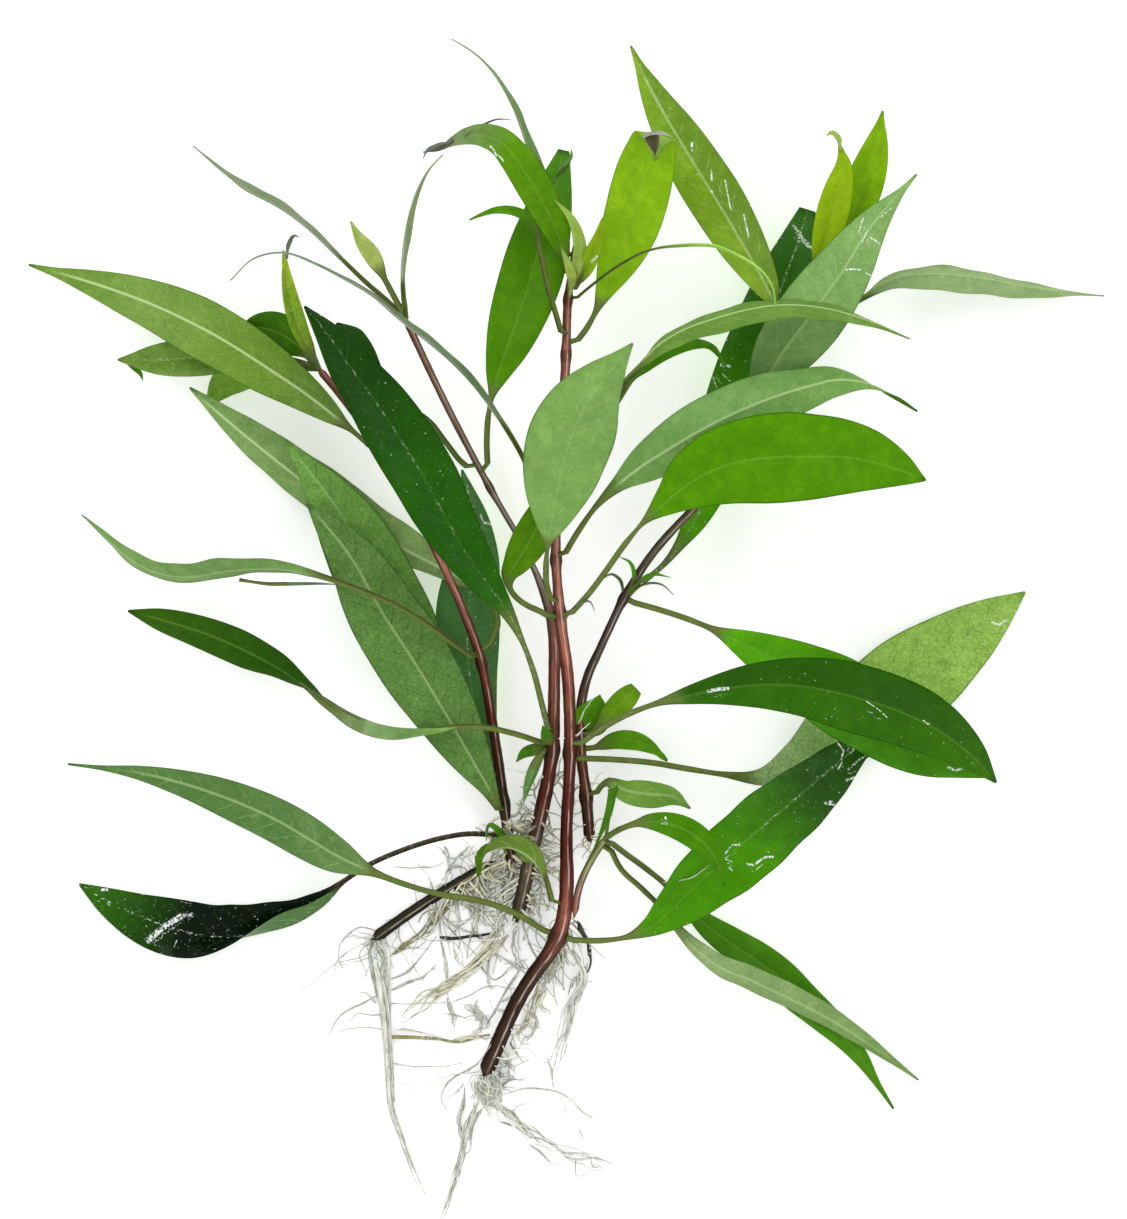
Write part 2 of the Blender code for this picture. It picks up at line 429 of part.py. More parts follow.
def eased_on_to_table(points):
    """Heights bent up by a hyperbola, so that what would go through the table lies on it."""
    points[..., 2] = 0.5 * (points[..., 2] + np.hypot(points[..., 2], TABLE_SOFTNESS))
    return points


def clear_start(line, stem):
    """The first sample of a leaf's midrib whose stalk is JOINT_GAP clear of the stem's skin."""
    core, _ = along_curve(stem.route, FINE_STEP)
    away = np.linalg.norm(line[:, None] - core[None, :, :3], axis=2)
    nearest = away.argmin(axis=1)
    along_leaf = unit(np.gradient(line, axis=0))
    along_stem = unit(np.gradient(core[:, :3], axis=0))[nearest]
    slant = np.abs(np.sum(along_leaf * along_stem, axis=1))
    room = away.min(axis=1) - core[nearest, 3] * (1 + NODE_SWELLING) - STALK_HALF_WIDTH * slant
    return int(np.argmax(room > JOINT_GAP))


def leaf_sections(leaf):
    """Corners of the leaf's cross-sections, (stations, 4, 3) in mm: left edge, top, right edge, bottom."""
    line, run = along_curve(leaf.route, FINE_STEP)
    blade_from = leaf.stalk * run[-1]
    forward, side, normal = midrib_frames(line)
    first = clear_start(line, STEMS[leaf.stem])
    places = np.linspace(run[first], run[-1], LEAF_STATIONS)
    centre, side, normal = (
        np.stack([np.interp(places, run, column) for column in values.T], axis=1)
        for values in (line, side, normal)
    )
    side, normal = unit(side), unit(normal)
    blade = np.clip((places - blade_from) / (run[-1] - blade_from), 0, 1)
    roll, vee = (
        np.radians(np.interp(blade, np.linspace(0, 1, len(stations)), stations))[:, None]
        for stations in (leaf.roll, leaf.vee)
    )
    left = side * np.cos(roll) + normal * np.sin(roll)
    up = normal * np.cos(roll) - side * np.sin(roll)

    b = blade * leaf.blunt
    m = leaf.belly
    outline = (b / m) ** (leaf.fullness * m) * ((1 - b) / (1 - m)) ** (leaf.fullness * (1 - m))
    half_width = np.where(blade > 0, np.maximum(outline * leaf.width / 2, STALK_HALF_WIDTH), STALK_HALF_WIDTH)
    half_width[-1] = max(TIP_HALF_WIDTH, outline[-1] * leaf.width / 2)
    half_depth = np.interp(blade, (0, *FULL_BLADE, 1),
                           (STALK_HALF_DEPTH, BLADE_HALF_DEPTH, BLADE_HALF_DEPTH, TIP_HALF_DEPTH))
    vee *= np.minimum(1, blade / VEE_EASED_IN)[:, None]
    half_width, half_depth = half_width[:, None], half_depth[:, None]
    rise = up * np.sin(vee) * half_width
    out = left * np.cos(vee) * half_width
    deep = up * half_depth
    return eased_on_to_table(
        np.stack([centre + out + rise, centre + deep, centre - out + rise, centre - deep], axis=1))


def placed(points):
    """Points in mm from the plant's corner as metres from its middle."""
    return (points - np.array([*PLANT_CENTRE, 0])) * MM


def material(name, colour, roughness):
    made = bpy.data.materials.new(name)
    made.use_nodes = True
    shader = made.node_tree.nodes["Principled BSDF"]
    shader.inputs["Base Color"].default_value = (*colour, 1)
    shader.inputs["Roughness"].default_value = roughness
    return made


def make_leaf(name, leaf, collection):
    """A loft: four-cornered sections joined into rings of quads, with a flat cap at each end."""
    sections = placed(leaf_sections(leaf))
    shape = bmesh.new()
    rings = [[shape.verts.new(corner) for corner in section] for section in sections]
    for ring, following in zip(rings, rings[1:]):
        for k in range(4):
            nxt = (k + 1) % 4
            shape.faces.new((ring[k], ring[nxt], following[nxt], following[k]))
    shape.faces.new(rings[0][::-1])
    shape.faces.new(rings[-1])
    bmesh.ops.triangulate(shape, faces=shape.faces, quad_method="SHORT_EDGE")
    bmesh.ops.recalc_face_normals(shape, faces=shape.faces)
    mesh = bpy.data.meshes.new(name)
    shape.to_mesh(mesh)
    shape.free()
    mesh.materials.append(material(name, leaf.colour, LEAF_ROUGHNESS))
    obj = bpy.data.objects.new(name, mesh)
    collection.objects.link(obj)
    return obj


def ring_places(stem, run, step):
    """Distances along a stem for its rings and its leaf nodes: even steps, with closer rings over a node."""
    points = np.array(stem.route)[:, :3]
    knots = np.concatenate([[0], np.cumsum(np.linalg.norm(np.diff(points, axis=0), axis=1))])
    nodes = knots[list(stem.nodes)] / knots[-1] * run[-1]
    even = np.linspace(0, run[-1], max(3, round(run[-1] / step) + 1))
    to_node = np.abs(even[:, None] - nodes).min(axis=1, initial=NO_NODE)
    close = (nodes[:, None] + NODE_HALF_LENGTH * np.array([-1, 0, 1])).ravel()
    places = np.concatenate([[0], even[to_node > NODE_HALF_LENGTH], close, [run[-1]]])
    places = np.unique(np.clip(places, 0, run[-1]))
    return places[np.concatenate([[True], np.diff(places) > LEAST_STEP])], nodes


def make_stem(name, stem, collection, step, roundness):
    """A bevelled poly curve whose point radii follow the stem's taper and swell at its leaf nodes."""
    line, run = along_curve(stem.route, FINE_STEP)
    places, nodes = ring_places(stem, run, step)
    points = np.stack([np.interp(places, run, column) for column in line.T], axis=1)
    to_node = np.abs(places[:, None] - nodes).min(axis=1, initial=NO_NODE)
    points[:, 3] *= 1 + NODE_SWELLING * np.exp(-2 * (to_node / NODE_HALF_LENGTH) ** 2)
    curve = bpy.data.curves.new(name, "CURVE")
    curve.dimensions = "3D"
    curve.use_fill_caps = True
    curve.bevel_mode = "ROUND"
    curve.bevel_depth = MM
    curve.bevel_resolution = roundness
    spline = curve.splines.new("POLY")
    spline.points.add(len(points) - 1)
    for point, place, radius in zip(spline.points, placed(points[:, :3]), points[:, 3]):
        point.co = (*place, 1)
        point.radius = radius
    curve.materials.append(material(name, stem.colour, STEM_ROUGHNESS))
    obj = bpy.data.objects.new(name, curve)
    collection.objects.link(obj)
    return obj


def main():
    for old in list(bpy.data.objects):
        bpy.data.objects.remove(old)
    plant = bpy.data.collections.new("hygrophila")
    bpy.context.scene.collection.children.link(plant)
    for name, stem in STEMS.items():
        make_stem(name, stem, plant, STEM_STEP, STEM_ROUNDNESS)
    for name, bundle in ROOTS.items():
        make_stem(name, bundle, plant, ROOT_STEP, ROOT_ROUNDNESS)
    for name, leaf in LEAVES.items():
        make_leaf(name, leaf, plant)


main()
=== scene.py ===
"""The looks of a bare-rooted bunch of hygrophila that lies on a table, seen from straight above.

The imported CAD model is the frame. Each leaf's midrib, width, roll and fold, and each stem's axis and
thickness, are read back from the rings of corners of its node, and a fine surface takes the node's place.
Small pieces that have no node are laid out in millimetres from the plant's lower left corner.
"""

import logging
from dataclasses import dataclass, field
from enum import Enum
from itertools import permutations

import bmesh
import bpy
import numpy as np
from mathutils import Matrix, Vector


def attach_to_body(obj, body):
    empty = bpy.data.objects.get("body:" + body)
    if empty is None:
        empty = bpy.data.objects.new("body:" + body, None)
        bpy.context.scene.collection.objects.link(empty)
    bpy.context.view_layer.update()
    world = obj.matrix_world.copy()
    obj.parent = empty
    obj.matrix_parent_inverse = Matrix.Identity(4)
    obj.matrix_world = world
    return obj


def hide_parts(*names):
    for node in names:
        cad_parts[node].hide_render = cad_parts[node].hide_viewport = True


Array = np.ndarray
Colour = tuple[float, float, float]
Route = tuple[tuple[float, ...], ...]
Socket = bpy.types.NodeSocket

MM = 0.001
PLANT_CENTRE = (141.7, 147.8)  # mm from the laid-out plant's lower left corner to the frame's origin
PHOTO_PIXEL = 0.25  # mm
PHOTO_SIZE = (1127, 1219)  # pixels
PHOTO_TOP = 305.0  # mm, the height of the photograph's upper edge in the plant's millimetres
LEAF_CORNERS = 4  # left edge, upper side, right edge and underside of a leaf's section
STEM_SIDES = 8
ROOT_SIDES = 6

log = logging.getLogger("hygrophila")
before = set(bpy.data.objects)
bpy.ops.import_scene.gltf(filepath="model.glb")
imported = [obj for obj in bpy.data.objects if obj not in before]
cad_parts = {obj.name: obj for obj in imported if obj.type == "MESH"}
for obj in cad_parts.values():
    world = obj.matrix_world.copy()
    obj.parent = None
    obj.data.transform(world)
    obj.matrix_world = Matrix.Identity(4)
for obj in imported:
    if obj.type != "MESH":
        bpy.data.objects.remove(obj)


class Tone(Enum):
    """Colours of leaf tissue, linear."""

    INK = (0.004, 0.018, 0.003)
    BOTTLE = (0.022, 0.085, 0.008)
    TEAL = (0.030, 0.095, 0.030)
    FOREST = (0.038, 0.150, 0.006)
    MOSS = (0.058, 0.190, 0.008)
    GRASS = (0.090, 0.300, 0.004)
    APPLE = (0.130, 0.360, 0.010)
    LIME = (0.230, 0.450, 0.012)
    SPRING = (0.330, 0.480, 0.090)
    OLIVE = (0.170, 0.330, 0.040)
    SAGE = (0.120, 0.250, 0.062)
    FERN = (0.170, 0.310, 0.090)
    MEADOW = (0.215, 0.380, 0.080)
    MINT = (0.240, 0.430, 0.120)
    SILVER = (0.300, 0.420, 0.200)
    PEARL = (0.440, 0.580, 0.330)
    STRAW = (0.340, 0.530, 0.120)
    JADE = (0.055, 0.200, 0.060)
    HUSK = (0.110, 0.090, 0.045)
    ASH = (0.420, 0.430, 0.360)
    TWIG = (0.130, 0.210, 0.045)
    CHAR = (0.035, 0.045, 0.025)
    SLATE = (0.150, 0.170, 0.135)


PLAIN: Colour = (1.0, 1.0, 1.0)


@dataclass(frozen=True)
class LeafLook:
    """What one leaf looks like beyond its node's shape.

    upper and under are tones, and wet how wet the upper face is, at even steps from the stalk to the tip;
    wet also sets where the finish paints glints and specks. tint multiplies all tones of the blade, and left
    and right those of one half, as seen from above on the way to the tip: painted shade where a half is
    darker and painted light where it is brighter. wave is the margin's rise and fall in mm, net how clearly
    the fine veins show, and rib how pale the midrib is.
    """

    upper: tuple[Tone, ...] = (Tone.GRASS,)
    under: tuple[Tone, ...] = (Tone.FERN,)
    tint: Colour = PLAIN
    left: Colour = PLAIN
    right: Colour = PLAIN
    wave: float = 0.5
    wet: tuple[float, ...] = (0.0,)
    net: float = 0.3
    rib: float = 0.45
    stalk: Tone = Tone.TWIG
    slim: float = 1.0  # a stalk's thickness over its node's


LEAF_LOOKS: dict[str, LeafLook] = {
    "front_stem_leaf_1": LeafLook(
        (Tone.MOSS,), (Tone.SAGE, Tone.FERN, Tone.SAGE, Tone.SAGE), (0.89, 0.88, 0.94), net=0.4),
    "front_stem_leaf_2": LeafLook(
        (Tone.APPLE, Tone.GRASS, Tone.GRASS, Tone.TEAL, Tone.TEAL), tint=(0.76, 0.97, 0.25), wave=0.8,
        wet=(0.3, 0.5, 0.6, 1, 1), rib=0.3),
    "front_stem_leaf_3": LeafLook((Tone.MOSS,), (Tone.SAGE,), (1.2, 0.95, 0.6)),
    "front_stem_leaf_4": LeafLook(
        (Tone.MOSS, Tone.FOREST, Tone.FOREST, Tone.FOREST, Tone.MOSS), tint=(0.81, 0.93, 0.27),
        left=(0.76, 0.78, 0.8), wet=(0.6,), rib=0.25),
    "front_stem_leaf_5": LeafLook(
        (Tone.MOSS,), (Tone.PEARL, Tone.PEARL, Tone.STRAW, Tone.STRAW), (1, 1.04, 0.91), net=1, rib=0.1),
    "front_stem_leaf_6": LeafLook((Tone.GRASS,), tint=(0.98, 0.95, 0.29), wave=0.4, rib=0.5, wet=(0.15,)),
    "front_stem_leaf_7": LeafLook((Tone.GRASS,), (Tone.MINT,), (0.9, 0.92, 0.83), net=0.15, rib=0.1),
    "front_stem_leaf_8": LeafLook(
        (Tone.MOSS,), (Tone.MEADOW, Tone.MINT, Tone.MEADOW), (0.98, 1.04, 1.11), net=0.3, rib=1),
    "front_stem_leaf_9": LeafLook((Tone.SAGE,), (Tone.SILVER,), (1.23, 0.92, 1.76)),
    "front_stem_leaf_10": LeafLook((Tone.GRASS,), (Tone.MEADOW,), (0.75, 0.8, 0.65), rib=1),
    "front_stem_leaf_11": LeafLook((Tone.GRASS,), (Tone.MEADOW,)),
    "front_stem_leaf_12": LeafLook((Tone.LIME,), (Tone.MEADOW,), (1.13, 1.11, 0.83)),
    "front_stem_leaf_13": LeafLook((Tone.GRASS,), (Tone.MEADOW,)),
    "front_stem_leaf_14": LeafLook(
        (Tone.APPLE, Tone.GRASS, Tone.GRASS, Tone.GRASS, Tone.FERN, Tone.SLATE), (Tone.SILVER,),
        (1.2, 0.96, 1.19)),
    "front_stem_leaf_15": LeafLook((Tone.SAGE,), (Tone.SAGE, Tone.SILVER), (1.1, 0.93, 1.1)),
    "front_stem_leaf_16": LeafLook((Tone.LIME,), (Tone.LIME,), (1.17, 0.95, 0.93)),
    "front_stem_leaf_17": LeafLook((Tone.OLIVE,), (Tone.MEADOW,), (2.03, 2.03, 1.54), slim=0.55),
    "front_stem_leaf_18": LeafLook((Tone.GRASS,), (Tone.FERN,), (0.98, 0.77, 1.04)),
    "back_stem_leaf_1": LeafLook(
        (Tone.MOSS, Tone.FOREST, Tone.FOREST, Tone.MOSS), (Tone.SILVER, Tone.FERN), (0.67, 0.63, 0.7)),
    "back_stem_leaf_2": LeafLook(
        (Tone.FOREST, Tone.MOSS, Tone.FOREST, Tone.FOREST, Tone.BOTTLE, Tone.BOTTLE),
        tint=(0.42, 0.7, 0.25), wet=(0.7,), rib=0.1),
    "back_stem_leaf_3": LeafLook((Tone.BOTTLE,), (Tone.FERN,), wet=(0.5,)),
    "back_stem_leaf_4": LeafLook(
        (Tone.APPLE, Tone.MOSS, Tone.MOSS, Tone.JADE), (Tone.FERN,), (1.47, 1.37, 0.27), wet=(0.3,)),
    "back_stem_leaf_5": LeafLook((Tone.FERN,), (Tone.SILVER,), (1.24, 0.89, 1.69)),
    "back_stem_leaf_6": LeafLook((Tone.SPRING,), (Tone.SPRING,), (1.34, 1.12, 1.6)),
    "back_stem_leaf_7": LeafLook((Tone.FERN,), (Tone.SILVER,), (1.47, 1.07, 1.73)),
    "left_stem_leaf_1": LeafLook(
        (Tone.INK, Tone.INK, Tone.INK, Tone.INK, Tone.GRASS), (Tone.SILVER, Tone.FERN), (0.39, 0.54, 0.39),
        wet=(1,), rib=0, stalk=Tone.CHAR),
    "left_stem_leaf_2": LeafLook((Tone.MOSS,), (Tone.SAGE, Tone.FERN), (1.17, 1.29, 0.97), net=0.9, rib=0.3),
    "left_stem_leaf_3": LeafLook((Tone.MOSS,), (Tone.SAGE,), (1.04, 1, 0.95), net=1, rib=0.4),
    "left_stem_leaf_4": LeafLook((Tone.TEAL,), (Tone.FERN,), (3, 2.65, 2.2), wet=(1,)),
    "left_stem_leaf_5": LeafLook((Tone.FERN,), (Tone.FERN,), (1.12, 1.1, 1.13)),
    "left_stem_leaf_6": LeafLook((Tone.MOSS,), (Tone.FERN, Tone.SAGE), (1.77, 1.44, 1.77), net=0.5, rib=1),
    "left_stem_leaf_7": LeafLook(
        (Tone.GRASS,), (Tone.FERN, Tone.OLIVE, Tone.MEADOW, Tone.OLIVE), (1, 0.94, 0.91), net=0.5, rib=1),
    "left_stem_leaf_8": LeafLook(
        (Tone.OLIVE,), (Tone.MEADOW,), (1.02, 0.91, 1.18), wave=0.9, net=0.8, wet=(0.7,)),
    "left_stem_leaf_9": LeafLook(
        (Tone.FOREST,), (Tone.FERN,), (1.23, 1.03, 0.46), wave=0.9, net=0.9, wet=(0.6,)),
    "left_stem_leaf_10": LeafLook((Tone.OLIVE,), (Tone.MEADOW,), (1.49, 1.44, 1.41), net=0.8, wet=(0.6,)),
    "left_stem_leaf_11": LeafLook(
        (Tone.LIME, Tone.APPLE, Tone.LIME), (Tone.LIME,), (1.76, 1.14, 2.67), wave=0.7, net=0.8, wet=(0.7,)),
    "right_stem_leaf_1": LeafLook((Tone.GRASS,), (Tone.OLIVE,), (1.13, 1.13, 1.48)),
    "right_stem_leaf_2": LeafLook((Tone.APPLE,), (Tone.FERN,), (1.02, 0.81, 0.8)),
    "right_stem_leaf_3": LeafLook(
        (Tone.GRASS, Tone.GRASS, Tone.MOSS, Tone.MOSS), (Tone.FERN,), (1.26, 1.48, 1.16), wet=(0.5,)),
    "right_stem_leaf_4": LeafLook(
        (Tone.MOSS, Tone.MOSS, Tone.BOTTLE, Tone.TEAL), (Tone.FERN,), (1.91, 2.11, 0.91), wet=(1,)),
    "right_stem_leaf_5": LeafLook(
        (Tone.GRASS,), (Tone.FERN, Tone.MINT, Tone.MINT), (1.03, 1, 1.1), wet=(0.6,), net=0.4),
    "right_stem_leaf_6": LeafLook((Tone.FERN,), (Tone.SILVER,), (0.95, 0.97, 0.85)),
    "right_stem_leaf_7": LeafLook(
        (Tone.GRASS,), (Tone.MEADOW, Tone.OLIVE, Tone.OLIVE), (1.18, 1.12, 0.67), left=(0.8, 0.8, 0.85),
        right=(1.15, 1.1, 0.8), wet=(0.7,)),
    "right_stem_leaf_8": LeafLook((Tone.LIME,), (Tone.LIME,), (1.34, 1.07, 0.69)),
    "right_stem_leaf_9": LeafLook((Tone.LIME,), (Tone.LIME,), (0.93, 0.94, 0.35)),
    "right_stem_leaf_10": LeafLook((Tone.GRASS,), (Tone.FERN,), (1.28, 1.12, 2.14)),
    "side_shoot_leaf_1": LeafLook((Tone.GRASS,), (Tone.FERN,), (0.7, 0.76, 0.25), wet=(0.4,)),
    "side_shoot_leaf_2": LeafLook((Tone.GRASS,), (Tone.SILVER, Tone.FERN), (1.15, 1.08, 1.05), net=0.5),
    "side_shoot_leaf_3": LeafLook((Tone.MOSS,), (Tone.FERN,), (1.3, 1.3, 1.08)),
}

# Painted highlights on the leaves, the lines where a wet film gleams: the width and the way of each, in mm
# from the plant's corner.
PAINTED_GLEAMS: dict[str, tuple[tuple[float, Route], ...]] = {
    "front_stem_leaf_2": ((0.55, ((180.8, 91.1), (182.7, 93.9), (184.8, 94))),
        (0.39, ((181.1, 90.4), (182.9, 89.8))), (0.62, ((186.5, 89.2), (188.3, 88.9), (190.2, 90.4))),
        (0.62, ((190.7, 90.9), (193.3, 91))), (0.39, ((181.8, 88.5), (182.9, 87.6))),
        (0.62, ((206, 104.3), (208.5, 104))), (0.47, ((207.2, 105.1), (207.9, 104.7))),
        (0.7, ((211.3, 110), (213.4, 110.7))), (1.25, ((216.7, 119.3), (219, 119.2))),
        (0.62, ((214.6, 115.2), (216.6, 116.6), (218.7, 118.4))), (0.62, ((211.9, 112.8), (214, 114.6))),
        (0.47, ((209.3, 119.3), (210.7, 117.5), (210.1, 115.2))),
        (0.47, ((211.3, 121.1), (213.4, 119.9), (213.1, 117.5))), (0.47, ((210.4, 114.6), (209.3, 112.8)))),
    "front_stem_leaf_4": ((1.01, ((176.8, 132.3), (179.5, 132.9), (181.8, 133))),
        (0.25, ((216, 129.9), (219, 127.9), (221.3, 125.8))), (0.31, ((230.2, 125.2), (231.7, 124)))),
    "right_stem_leaf_3": ((0.7, ((236.6, 113.4), (238.5, 112.5), (240.3, 113))),
        (0.47, ((241.1, 110.4), (241.7, 109.9)))),
    "front_stem_leaf_5": ((0.62, ((247.9, 149.4), (249.8, 148.8), (251.8, 150.2))),),
    "side_shoot_leaf_1": ((0.62, ((166.2, 101), (166.6, 99.4))), (0.31, ((165.2, 99.4), (166.6, 99.2)))),
    "left_stem_leaf_1": ((1.72, ((37, 69.9), (40.7, 73.1), (45.2, 75.9))),
        (1.25, ((46.2, 76.2), (48, 76.3))), (0.78, ((25.1, 82.6), (26.9, 82.6))),
        (0.55, ((41, 81.4), (42.3, 81.4))), (0.47, ((44, 81.2), (49.5, 81))),
        (0.25, ((44.3, 70), (43.6, 68.4)))),
    "left_stem_leaf_4": ((0.55, ((114.8, 183.8), (116.6, 182.3))),
        (0.62, ((120.1, 176.4), (120.9, 174.4), (122.8, 173.9)))),
    "right_stem_leaf_7": ((0.7, ((172.9, 268.9), (172.9, 267))), (0.55, ((177.7, 262.2), (177.8, 259.6))),
        (0.39, ((181.1, 259.6), (182.5, 252.3))), (0.47, ((185.7, 251.1), (187.1, 245.1))),
        (0.55, ((177.7, 256.8), (178.1, 256.3)))),
    "right_stem_leaf_5": ((0.39, ((215.5, 250), (214.3, 246.3))), (0.31, ((216.6, 247), (215.1, 244))),
        (0.25, ((220, 250.4), (222.6, 252.6))), (0.55, ((211.1, 237.1), (213.2, 237.4), (214.9, 237.1))),
        (0.39, ((216.1, 236.4), (217.3, 235.8))), (0.39, ((217.3, 245.2), (219.6, 243.7)))),
    "right_stem_leaf_4": ((0.78, ((198.2, 248.4), (200.1, 246.3))), (1.09, ((199.7, 246.3), (202, 243.3))),
        (0.7, ((202, 244), (203.1, 242.2))), (0.39, ((198.6, 245.5), (199.7, 244.4))),
        (0.94, ((180.2, 213.7), (182.5, 213.3))), (0.39, ((178, 211.1), (179.1, 208.1))),
        (0.31, ((180.6, 211.4), (182.5, 209.6)))),
    "front_stem_leaf_14": ((0.47, ((122.7, 267.5), (123.8, 266.3), (124.2, 265.1))),
        (0.39, ((125, 265), (126.1, 263.7)))),
    "front_stem_leaf_16": ((0.7, ((147.8, 238.9), (149.2, 240.3))),),
}


# Arrays and curves


def unit(vectors: Array) -> Array:
    """Vectors along the last axis at length one."""
    return vectors / np.maximum(np.linalg.norm(vectors, axis=-1, keepdims=True), 1e-12)


def smoothstep(low: float, high: float, x: Array) -> Array:
    """0 below low, 1 above high and the cubic 3t^2 - 2t^3 between them."""
    t = np.clip((x - low) / (high - low), 0, 1)
    return t * t * (3 - 2 * t)


def along(places: Array, knots: Array, values: Array) -> Array:
    """Values at knots carried smoothly to places.

    Each stretch is the cubic whose end slopes are the mean slopes of its neighbours.

    Args:
        places: distances at which values are wanted.
        knots: rising distances of the known values.
        values: the known values, one row a knot.

    Returns:
        One row of values for each place.
    """
    flat = values.reshape(len(knots), -1)
    slopes = np.gradient(flat, knots, axis=0)
    i = np.clip(np.searchsorted(knots, places, side="right") - 1, 0, len(knots) - 2)
    h = (knots[i + 1] - knots[i])[:, None]
    s = (places[:, None] - knots[i][:, None]) / h
    out = ((2 * s**3 - 3 * s**2 + 1) * flat[i] + (s**3 - 2 * s**2 + s) * h * slopes[i]
           + (3 * s**2 - 2 * s**3) * flat[i + 1] + (s**3 - s**2) * h * slopes[i + 1])
    return out.reshape(len(places), *values.shape[1:])


def travelled(line: Array) -> Array:
    """Distance along a line of points, 0 at its first."""
    return np.concatenate([[0], np.cumsum(np.linalg.norm(np.diff(line, axis=0), axis=1))])


def from_photo_corner(points: Array) -> Array:
    """Points in mm from the laid-out plant's corner as mm in the frame."""
    return np.asarray(points, float) - np.array([*PLANT_CENTRE, 0])


def ripple(places: Array, lengths: tuple[float, ...], seed: int) -> Array:
    """A soft wander round 0, about 1 high: a sum of sines of the given wave lengths with seeded phases."""
    phases = np.random.default_rng(seed).uniform(0, 2 * np.pi, len(lengths))
    waves = [np.sin(2 * np.pi * places / length + phase) for length, phase in zip(lengths, phases)]
    return np.mean(waves, axis=0) * 1.4


# The frame's rings


def node_corners(node: bpy.types.Object) -> tuple[Array, Array, Array]:
    """(corners in mm, which are joined by an edge, triangles) of a CAD node, its doubles merged in a copy."""
    shape = bmesh.new()
    shape.from_mesh(node.data)
    bmesh.ops.remove_doubles(shape, verts=shape.verts, dist=0.01 * MM)
    shape.verts.index_update()
    corners = np.array([v.co[:] for v in shape.verts]) / MM
    triangles = np.array([[v.index for v in f.verts] for f in shape.faces])
    shape.free()
    joined = np.zeros((len(corners),) * 2, bool)
    for a, b in ((0, 1), (1, 2), (2, 0)):
        joined[triangles[:, a], triangles[:, b]] = joined[triangles[:, b], triangles[:, a]] = True
    return corners, joined, triangles


def rings_from(start: Array, joined: Array) -> list[Array]:
    """The corners in steps away from start: each step holds what is joined to the step before it."""
    rings = [start]
    seen = np.zeros(len(joined), bool)
    seen[start] = True
    while len(rings[-1]):
        reached = joined[rings[-1]].any(axis=0) & ~seen
        seen |= reached
        rings.append(np.flatnonzero(reached))
    return rings[:-1]


def node_rings(name: str, sides: int) -> tuple[Array, Array]:
    """The rings of corners that a lofted or swept CAD solid is made of.

    A cap is a set of coplanar triangles with as many corners as a ring has, from which every step along
    the mesh meets one whole ring.

    Args:
        name: the node.
        sides: corners in a ring.

    Returns:
        Corners in mm, (rings, sides, 3), in no set order within a ring, the thicker end first, and which
        corner of each ring an edge joins to which of the next ring's, (rings - 1, sides, sides).
    """
    corners, joined, triangles = node_corners(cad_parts[name])
    spans = corners[triangles]
    normals = unit(np.cross(spans[:, 1] - spans[:, 0], spans[:, 2] - spans[:, 0]))
    middles = spans.mean(axis=1)
    for normal, middle in zip(normals, middles):
        level = (normals @ normal > 0.995) & (np.abs((middles - middle) @ normal) < 0.05)
        cap = np.unique(triangles[level])
        if len(cap) != sides:
            continue
        rings = rings_from(cap, joined)
        if all(len(ring) == sides for ring in rings):
            break
    else:
        raise ValueError(f"{name} isn't made of rings of {sides} corners")
    rings = np.array(rings)
    found = corners[rings]
    reach = np.linalg.norm(found - found.mean(axis=1, keepdims=True), axis=2).min(axis=1)
    if reach[0] < reach[-1]:
        rings, found = rings[::-1], found[::-1]
    return found, joined[rings[:-1, :, None], rings[1:, None, :]]


def node_axis(name: str, sides: int) -> tuple[Array, Array]:
    """(middles of a node's rings in mm, their mean radii), the end with the lower Y first."""
    rings, _ = node_rings(name, sides)
    axis = rings.mean(axis=1)
    radius = np.linalg.norm(rings - axis[:, None], axis=2).mean(axis=1)
    return (axis, radius) if axis[0, 1] <= axis[-1, 1] else (axis[::-1], radius[::-1])


